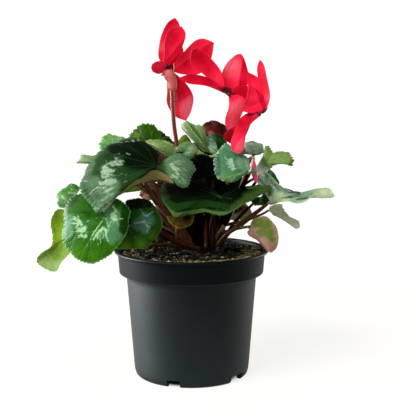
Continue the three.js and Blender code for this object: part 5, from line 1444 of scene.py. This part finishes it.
def marked(rows, places):
    """How strongly marks cover each point, seen from the front: patches fade out, strokes have an edge."""
    across, up = as_seen(places)
    cover = np.zeros(len(places))
    for row in rows:
        if len(row) == 3:
            x, z, reach = row
            share = np.exp(-((across - x) ** 2 + (up - z) ** 2) / reach**2)
        else:
            x1, z1, x2, z2, wide1, wide2, strength = row
            right, rise = x2 - x1, z2 - z1
            along = np.clip(((across - x1) * right + (up - z1) * rise) / (right**2 + rise**2), 0, 1)
            away = np.hypot(across - x1 - along * right, up - z1 - along * rise)
            wide = wide1 + (wide2 - wide1) * along
            share = strength * np.clip(0.5 + (wide - away) / np.maximum(wide, STROKE_EDGE), 0, 1)
        cover = np.maximum(cover, share)
    return cover


def painted(leaf, places, along, out):
    """The marks of a leaf, or for one without any a broken silver ring in a misty band."""
    shares = {key: marked(leaf.paint.get(key, ()), places) for key in MARKS}
    if leaf.paint.keys() <= {"look", "teeth", "stalk"}:
        ring = np.exp(-(((out - 0.6) / 0.17) ** 2))
        shares["silver"] = ring * (0.5 + 0.4 * np.cos(2 * np.pi * (along * leaf.veins + 0.5)))
        shares["haze"] = 0.8 * np.exp(-(((out - 0.62) / 0.26) ** 2))
        shares["deep"] = 0.7 * np.exp(-((out / 0.3) ** 2))
    return shares


def leaf_stalk_line(leaf, order):
    """The route of a leaf's stalk, from its own place on the tuber to the base of its blade."""
    heart = np.array([TUBER["x"], TUBER["y"], TUBER["z"]], float)
    via = [seen(point) for point in leaf.via][::-1] if leaf.via else []
    aim = (via[0] if via else leaf.base) - heart
    aim[2] = 0
    aim = unit(aim)
    across = np.array([-aim[1], aim[0], 0])
    root = heart + aim * (0.5 + 0.3 * ((order * GOLDEN) % 1)) * TUBER["radius"]
    root = root + across * (((order * GOLDEN * GOLDEN) % 1) - 0.5) * 0.7 * TUBER["radius"]
    root[2] += 0.3 * TUBER["height"]
    if not leaf.via:
        for out, up in ((0.12, 0.4), (0.45, 0.82)):
            point = root + (leaf.base - root) * out
            point[2] = root[2] + up * (leaf.base[2] - root[2])
            via.append(point)
    return [root, *via, leaf.base]


def all_leaves():
    return [front_leaf(**row) for row in LEAVES] + [heart_leaf(**row) for row in HEARTS]


class CYCLAMEN_OT_leaves(bpy.types.Operator):
    """Lays a fine toothed blade with veins over every leaf solid"""

    bl_idname = "cyclamen.leaves"
    bl_label = "Leaves"

    def execute(self, context):
        sizes = context.scene.cyclamen_leaves
        skins = {}
        for look in LOOKS:
            skins[look] = [leaf_material(look, True), leaf_material(look, False), rim_material(look)]
        for order, leaf in enumerate(all_leaves()):
            placed(blade_of(leaf, order, skins, sizes), "leaf", leaf.name)
        for order, row in enumerate(INNER_LEAVES):
            placed(blade_of(front_leaf(**row), order, skins, sizes), "leaf")
        for row in TURNED:
            placed(turned_edge(row, skins, sizes), "leaf")
        return {"FINISHED"}


def blade_of(leaf, order, skins, sizes):
    """The finished blade of a leaf: a grid laid over its surface and given its thickness."""
    rows = max(10, round(leaf.reach / (MARKED_ROW_STEP if "silver" in leaf.paint else ROW_STEP)))
    levels = 1 - (1 - np.linspace(0, 1, rows + 1)) ** 1.25

    def shape(across, out):
        along = 1 - across
        places = leaf.surface(along, out, sizes, order)
        return places, {"fan": along * leaf.veins, **painted(leaf, places, along, out)}

    blade = sheet(f"{leaf.name}_blade", TEETH_POINTS * leaf.teeth(sizes), levels, shape)
    finish_blade(blade, skins[leaf.paint["look"]], sizes)
    return blade


def finish_blade(blade, skins, sizes):
    for material in skins:
        blade.data.materials.append(material)
    weld(blade)
    finish_with(blade, "SOLIDIFY", thickness=sizes.thickness, offset=0, material_offset=1,
                material_offset_rim=2)
    smooth_shaded(blade)


def turned_edge(row, skins, sizes):
    """A narrow part of a leaf that is turned over, laid between its two long edges."""
    top, low = (Line([seen(point) for point in row[key]]) for key in ("top", "low"))
    steps = round(top.length / TURNED_STEP)

    def shape(across, down):
        along = across if row["under"] else 1 - across
        first, second = top.at(along), low.at(along)
        bulge = 1.6 * down * (1 - down)
        places = first + (second - first) * down[:, None]
        places[:, 1] -= bulge
        places[:, 2] += 0.2 * np.sin(2 * np.pi * along * top.length / (sizes.tooth_width / MM)) * (1 - down)
        fan = along * max(3, round(top.length / VEIN_SPACING))
        return places, {"fan": fan, "silver": row.get("silver", 0.2), "haze": 0,
                        "deep": 0.7 * ramp(down, 0.6, 1), "margin": 0.2 * (1 - down)}

    piece = sheet(row["name"], steps, np.linspace(0, 1, 13), shape)
    finish_blade(piece, skins[row["look"]], sizes)
    return piece


# Stalks that no drawn leaf stands on: young and old ones packed in the middle of the crown, then those seen
# from the front, with their points as seen, their thickness and their tone.
INNER_STALKS = 30
LOOSE_STALKS = [
  dict(points=[(4, 101, 0), (-8, 108, -6), (-17.4, 121.6, -20), (-24.7, 130, -27), (-27, 133, -26)],
    radius=0.8, tone=0.1),
  dict(
    points=[(-2, 101, 0), (-12, 115, -8), (-20, 128, -16), (-25.9, 137.3, -20), (-34.3, 142.8, -24),
      (-42, 148.6, -27)], radius=0.9, tone=0.2),
  dict(
    points=[(0, 101, 0), (-10, 114, -6), (-18, 126, -14), (-25.1, 134.9, -19), (-30.5, 143.5, -23),
      (-35.8, 150.6, -27)], radius=1.2, tone=0.55),
  dict(
    points=[(2, 101, 0), (-8, 113, -4), (-16, 128, -12), (-23.5, 141.2, -18), (-26.6, 146.7, -20),
      (-30.4, 151.3, -22)], radius=1.1, tone=0.22),
  dict(points=[(1, 101, 4), (-9, 115, 2), (-17, 128, 0), (-25, 138, -4), (-31, 146, -8)], radius=1.5,
    tone=0.7),
  dict(points=[(3, 101, 2), (-5, 113, 2), (-12, 128, -4), (-18, 142, -12), (-21, 150, -16)], radius=1.6,
    tone=0.5),
  dict(points=[(17, 100, -6), (17.4, 112, -7), (17, 127, -9), (17, 134, -6)], radius=1.7, tone=0.85),
  dict(points=[(0, 100, -8), (-9.4, 104, -12), (-11.3, 113, -20), (-11, 118, -25)], radius=1.4, tone=0.45),
  dict(points=[(26, 118, -4), (33, 133, -12), (38, 145, -24), (44.6, 157.4, -33)], radius=1.9, tone=1.05),
  dict(points=[(6, 99, -10), (-6, 102.6, -16), (-18, 109, -22), (-29, 117, -24)], radius=1.7, tone=0.72),
]
# Leaves in the shade of the crown, between the drawn ones, as the front ones are given.
# The first three are painted near black: painted shade inside the crown.
INNER_LEAVES = [
  dict(name="inner_leaf_1", at=[6, 150, 6], lean=[0, 0.6], dome=1,
    edge=[[-32, 153], [-33, 166], [-22, 172], [-8, 175], [3, 182], [14, 182], [26, 172], [36, 161], [40, 151],
      [34, 141], [20, 134], [4, 133], [-10, 136], [-22, 143]]),
  dict(name="inner_leaf_2", at=[-4, 126, 20], lean=[0, 0.2], dome=1,
    edge=[[-20, 130], [-14, 138], [0, 142], [14, 141], [24, 135], [25, 124], [18, 114], [6, 109], [-6, 110],
      [-14, 116], [-19, 123]]),
  dict(name="inner_leaf_4", at=[-5, 180, 34], lean=[0, 0.3], dome=1,
    edge=[[-12, 178], [-10.8, 181], [-9.2, 184.4], [-5.2, 188.2], [-2.4, 186.4], [-0.6, 183.6], [1, 179]]),
  dict(name="inner_leaf_3", at=[-14, 106, 24], lean=[0, 0.2], dome=1,
    edge=[[-28, 104], [-27, 113], [-22, 121], [-15, 125], [-6, 122], [2, 112], [4, 103], [-8, 101],
      [-20, 101]]),
]


def inner_stalks(sizes):
    """Dark stalks that rise close together from the tuber and end under the leaves."""
    draw = random.Random(11)
    radius = sizes.stalk_radius / MM
    made = []
    for i in range(INNER_STALKS):
        share = (i + 0.5) / INNER_STALKS
        angle = 2 * math.pi * i * GOLDEN
        spread = math.sqrt(share)
        root = (TUBER["x"] + 12 * spread * math.cos(angle), TUBER["y"] + 11 * spread * math.sin(angle),
                TUBER["z"] + 2)
        top = (13 + 9.5 * spread * math.cos(angle), 14 + 13 * spread * math.sin(angle),
               draw.uniform(132, 144))
        middle = (0.5 * (root[0] + top[0]), 0.6 * root[1] + 0.4 * top[1], 0.5 * (root[2] + top[2]))
        wide = radius * draw.uniform(0.9, 1.25)
        # Their tone near 1 gives the near-black stalk colour: painted shade inside the crown.
        made.append(rolled(f"inner_stalk_{i}", [root, middle, top], lambda share: wide * (1 - 0.35 * share),
                           sides=8, steps=14, tone=draw.uniform(0.9, 1.1)))
    return made


def corky_tuber(sizes):
    """The half-buried tuber: a ball pressed flat and roughened."""
    deselect()
    bpy.ops.mesh.primitive_uv_sphere_add(segments=64, ring_count=32, radius=TUBER["radius"] * MM)
    tuber = bpy.context.object
    tuber.name = tuber.data.name = "tuber"
    for vertex in tuber.data.vertices:
        rough = 1 + 0.05 * noise.noise(vertex.co * 160) + 0.03 * noise.noise(vertex.co * 420)
        vertex.co = Vector((vertex.co.x * rough + TUBER["x"] * MM, vertex.co.y * rough + TUBER["y"] * MM,
                            vertex.co.z * rough * TUBER["height"] / TUBER["radius"] + TUBER["z"] * MM))
    dressed(tuber, cork_material(sizes))
    placed(tuber, "stalk")


class CYCLAMEN_OT_crown(bpy.types.Operator):
    """Raises the leaf stalks from the corky tuber"""

    bl_idname = "cyclamen.crown"
    bl_label = "Tuber and leaf stalks"

    def execute(self, context):
        sizes = context.scene.cyclamen_leaves
        root = sizes.stalk_radius / MM
        stalks = []
        for order, leaf in enumerate(all_leaves()):
            tone = leaf.paint.get("stalk", 0.65 + 0.35 * ((order * GOLDEN * 3) % 1))
            stalks.append(rolled(f"stalk_{order}", leaf_stalk_line(leaf, order),
                                 lambda share: root * (1 - 0.42 * share**1.5), sides=10, steps=28, tone=tone))
        for i, row in enumerate(LOOSE_STALKS):
            stalks.append(rolled(f"loose_stalk_{i}", [seen(point) for point in row["points"]],
                                 lambda share: row["radius"] * (1 - 0.15 * share), sides=10, steps=28,
                                 tone=row["tone"]))
        piece = joined("leaf_stalks", stalks + inner_stalks(sizes))
        tones = [sizes.stalk_pink, sizes.stalk, sizes.stalk, sizes.stalk_red, sizes.stalk_dark]
        dressed(piece, stalk_material("leaf_stalk_skin", [tuple(tone) for tone in tones], 4, 0.5, 0.1))
        placed(piece, "stalk", "crown")
        corky_tuber(sizes)
        return {"FINISHED"}


# Flowers

# Rows along a petal, closer together at its tip, and the tone of its plain face.
PETAL_LEVELS = np.concatenate([np.linspace(0, 0.94, 46), [0.96, 0.98, 0.99, 0.997, 1.0]])
PETAL_SIDES = 26
PETAL_TONE = 0.6


def creased(fold, places):
    """Bends the part of a petal on the left of a line back, and tells how each side's tone changes."""
    across, up = as_seen(places)
    (x1, z1), (x2, z2) = fold["start"], fold["end"]
    long = math.hypot(x2 - x1, z2 - z1)
    side = ((x2 - x1) * (up - z1) - (z2 - z1) * (across - x1)) / long
    places[:, 1] += fold["bend"] * np.maximum(side, 0)
    # The tones on the two sides are painted light and shade across the crease.
    left, right = fold["tone"]
    return right + (left - right) * ramp(side, -0.5, 0.5)


def petal(name, row, sizes):
    """A petal lofted between its two edges, hollowed along the middle, ribbed and creased."""
    one = Line([seen(p) for p in row["left"] + [row["tip"]]])
    two = Line([seen(p) for p in row["right"] + [row["tip"]]])

    def shape(across, along):
        first, second = one.at(along), two.at(along)
        hollow = np.cross(one.tangent(along), second - first)
        wide = np.linalg.norm(second - first, axis=1)
        bend = 0.5 * across * (1 - across)
        rib = 0.005 * wide * np.sin(2 * np.pi * 5 * across) * np.sin(np.pi * np.clip(along, 0, 1))
        places = first + (second - first) * across[:, None] + hollow * bend[:, None]
        places = places + unit(hollow) * rib[:, None]
        # The tone marks and creases paint light and shade on the petal.
        tone = np.full(len(along), PETAL_TONE)
        for x, z, reach, change in row.get("tones", ()):
            tone += change * marked([(x, z, reach)], places)
        for fold in row.get("folds", ()):
            tone += creased(fold, places)
        return places, {"tone": np.clip(tone, 0.05, 1)}

    piece = sheet(name, PETAL_SIDES, PETAL_LEVELS, shape)
    weld(piece)
    finish_with(piece, "SOLIDIFY", thickness=sizes.petal_thickness, offset=0)
    return piece


def flower_tube(name, row, material):
    """A round part of a flower along a line, with its radius read from a list along it."""
    radii = row["radii"]
    piece = rolled(name, [seen(point) for point in row["line"]],
                   lambda share: np.interp(share, np.linspace(0, 1, len(radii)), radii), sides=24, steps=30,
                   tone=row.get("tone", 0.3))
    dressed(piece, material)
    placed(piece, "flower_stalk")


class CYCLAMEN_OT_flowers(bpy.types.Operator):
    """Shapes the petals, calyxes and stalks of the flowers"""

    bl_idname = "cyclamen.flowers"
    bl_label = "Flowers"

    def execute(self, context):
        sizes = context.scene.cyclamen_flowers
        velvet = petal_material(sizes)
        skin = stalk_material("flower_stalk_skin", [linear("#a85844"), tuple(sizes.scape), linear("#5f2a1c")],
                              3)
        flesh = stalk_material("calyx_flesh", [tuple(sizes.calyx), linear("#c05a58"), linear("#380810")], 5,
                               0.6, 0.08)
        for i, flower in enumerate(FLOWERS, 1):
            petals = [petal(f"petal_{i}_{k}", row, sizes) for k, row in enumerate(flower["petals"])]
            bloom = joined(f"flower_{i}", petals)
            dressed(bloom, velvet)
            placed(bloom, "petal", f"bloom_{i}")
            radius = sizes.scape_radius / MM
            stalk = rolled(f"scape_{i}", [seen(p) for p in flower["scape"]],
                           lambda share: radius * (0.92 + 0.16 * share), sides=16, steps=90, tone=0.4)
            dressed(stalk, skin)
            placed(stalk, "flower_stalk", f"flower_stalk_{i}")
            for k, row in enumerate(flower["tubes"]):
                flower_tube(f"flower_tube_{i}_{k}", row, flesh)
        return {"FINISHED"}


class CYCLAMEN_OT_bud(bpy.types.Operator):
    """Hangs the closed bud from its hooked stalk"""

    bl_idname = "cyclamen.bud"
    bl_label = "Bud"

    def execute(self, context):
        sizes = context.scene.cyclamen_flowers

        def fullness(share):
            return 0.4 + BUD["radius"] * np.sin(np.pi * (0.1 + 0.87 * share)) ** 0.8

        def twisted_folds(around, share):
            return 0.16 * np.sin(2 * np.pi * (5 * around + 1.2 * share))

        bud = rolled("closed_bud", [seen(p) for p in BUD["body"]], fullness, sides=24, steps=40,
                     relief=twisted_folds, tone=0.1)
        dressed(bud, stalk_material("bud_petals", [tuple(sizes.bud), tuple(sizes.deep)], 2))
        placed(bud, "petal", "bud")
        radius = sizes.scape_radius / MM
        stalk = rolled("bud_scape", [seen(p) for p in BUD["scape"]],
                       lambda share: radius * (0.6 + 0.4 * share),
                       sides=14, steps=70, tone=0.2)
        dressed(stalk, stalk_material("bud_stalk_skin", [linear("#c0987a"), tuple(sizes.scape)], 3))
        placed(stalk, "flower_stalk", "bud_stalk")
        return {"FINISHED"}


# Stage

def aimed(thing, target):
    thing.rotation_euler = (Vector(target) - thing.location).to_track_quat("-Z", "Y").to_euler()


def softbox(name, place, target, size, power):
    """A broad lamp that is seen only in glossy skins, as the white cards of a studio are."""
    deselect()
    bpy.ops.object.light_add(type="AREA", location=place)
    lamp = bpy.context.object
    lamp.name = lamp.data.name = name
    lamp.data.shape = "SQUARE"
    lamp.data.size = size
    lamp.data.energy = power
    lamp.visible_diffuse = False
    aimed(lamp, target)


def white_world(studio):
    """White all round for the camera, and a softer fill for the plant."""
    world = bpy.data.worlds.new("studio")
    world.use_nodes = True
    tree = world.node_tree
    tree.nodes.clear()
    camera_ray = add(tree, "LightPath", take="Is Camera Ray")
    strength = add(tree, "MapRange", {"Value": camera_ray}, span=(0, 1, studio.sky, 1.05))
    sky = add(tree, "Background", {"Color": linear("#ffffff"), "Strength": strength})
    add(tree, "OutputWorld", {"Surface": sky})
    return world


class CYCLAMEN_OT_stage(bpy.types.Operator):
    """Sets the camera, the white floor and the soft studio light"""

    bl_idname = "cyclamen.stage"
    bl_label = "Studio"

    def execute(self, context):
        studio = context.scene.cyclamen_studio
        deselect()
        bpy.ops.object.camera_add(location=(0, -EYE_DISTANCE * MM, EYE_HEIGHT * MM))
        camera = bpy.context.object
        camera.data.lens = LENS
        aimed(camera, Vector(AIM) * MM)
        context.scene.camera = camera
        bpy.ops.mesh.primitive_plane_add(size=studio.floor_size)
        floor = bpy.context.object
        floor.name = floor.data.name = "floor"
        floor.data.materials.append(floor_material(studio))
        middle = (0, 0, 0.14)
        deselect()
        bpy.ops.object.light_add(type="SUN", location=(-0.9, -0.8, 1.2))
        daylight = bpy.context.object
        daylight.name = daylight.data.name = "daylight"
        daylight.data.energy = studio.sun
        daylight.data.angle = studio.spread
        aimed(daylight, middle)
        softbox("left_softbox", (-1.1, 0.2, 0.25), middle, 0.8, studio.key)
        softbox("right_softbox", (1.1, 0.65, 0.25), middle, 0.7, studio.fill)
        context.scene.world = white_world(studio)
        context.scene.view_settings.view_transform = "Standard"
        context.scene.view_settings.look = "None"
        return {"FINISHED"}


class CYCLAMEN_PT_panel(bpy.types.Panel):
    """The sizes and colours, with a button for each group of pieces"""

    bl_idname = "CYCLAMEN_PT_panel"
    bl_label = "Potted cyclamen"
    bl_space_type = "VIEW_3D"
    bl_region_type = "UI"
    bl_category = "Cyclamen"

    def draw(self, context):
        for key, operator in STEPS:
            box = self.layout.box()
            box.operator(operator)
            group = getattr(context.scene, key)
            for name in group.bl_rna.properties.keys():
                if name not in ("rna_type", "name"):
                    box.prop(group, name)


STEPS = (
    ("cyclamen_studio", "cyclamen.stage"),
    ("cyclamen_pot", "cyclamen.pot"),
    ("cyclamen_soil", "cyclamen.soil"),
    ("cyclamen_leaves", "cyclamen.crown"),
    ("cyclamen_leaves", "cyclamen.leaves"),
    ("cyclamen_flowers", "cyclamen.flowers"),
    ("cyclamen_flowers", "cyclamen.bud"),
)
GROUPS = {
    "cyclamen_pot": CYCLAMEN_PG_pot,
    "cyclamen_soil": CYCLAMEN_PG_soil,
    "cyclamen_leaves": CYCLAMEN_PG_leaves,
    "cyclamen_flowers": CYCLAMEN_PG_flowers,
    "cyclamen_studio": CYCLAMEN_PG_studio,
}
CLASSES = (
    *GROUPS.values(), CYCLAMEN_OT_stage, CYCLAMEN_OT_pot, CYCLAMEN_OT_soil, CYCLAMEN_OT_crown,
    CYCLAMEN_OT_leaves, CYCLAMEN_OT_flowers, CYCLAMEN_OT_bud, CYCLAMEN_PT_panel,
)


def register():
    for kind in CLASSES:
        bpy.utils.register_class(kind)
    for key, group in GROUPS.items():
        setattr(bpy.types.Scene, key, PointerProperty(type=group))


def unregister():
    for key in GROUPS:
        delattr(bpy.types.Scene, key)
    for kind in reversed(CLASSES):
        bpy.utils.unregister_class(kind)


def main():
    register()
    for _, operator in STEPS:
        group, name = operator.split(".")
        getattr(getattr(bpy.ops, group), name)()


if __name__ == "__main__":
    main()
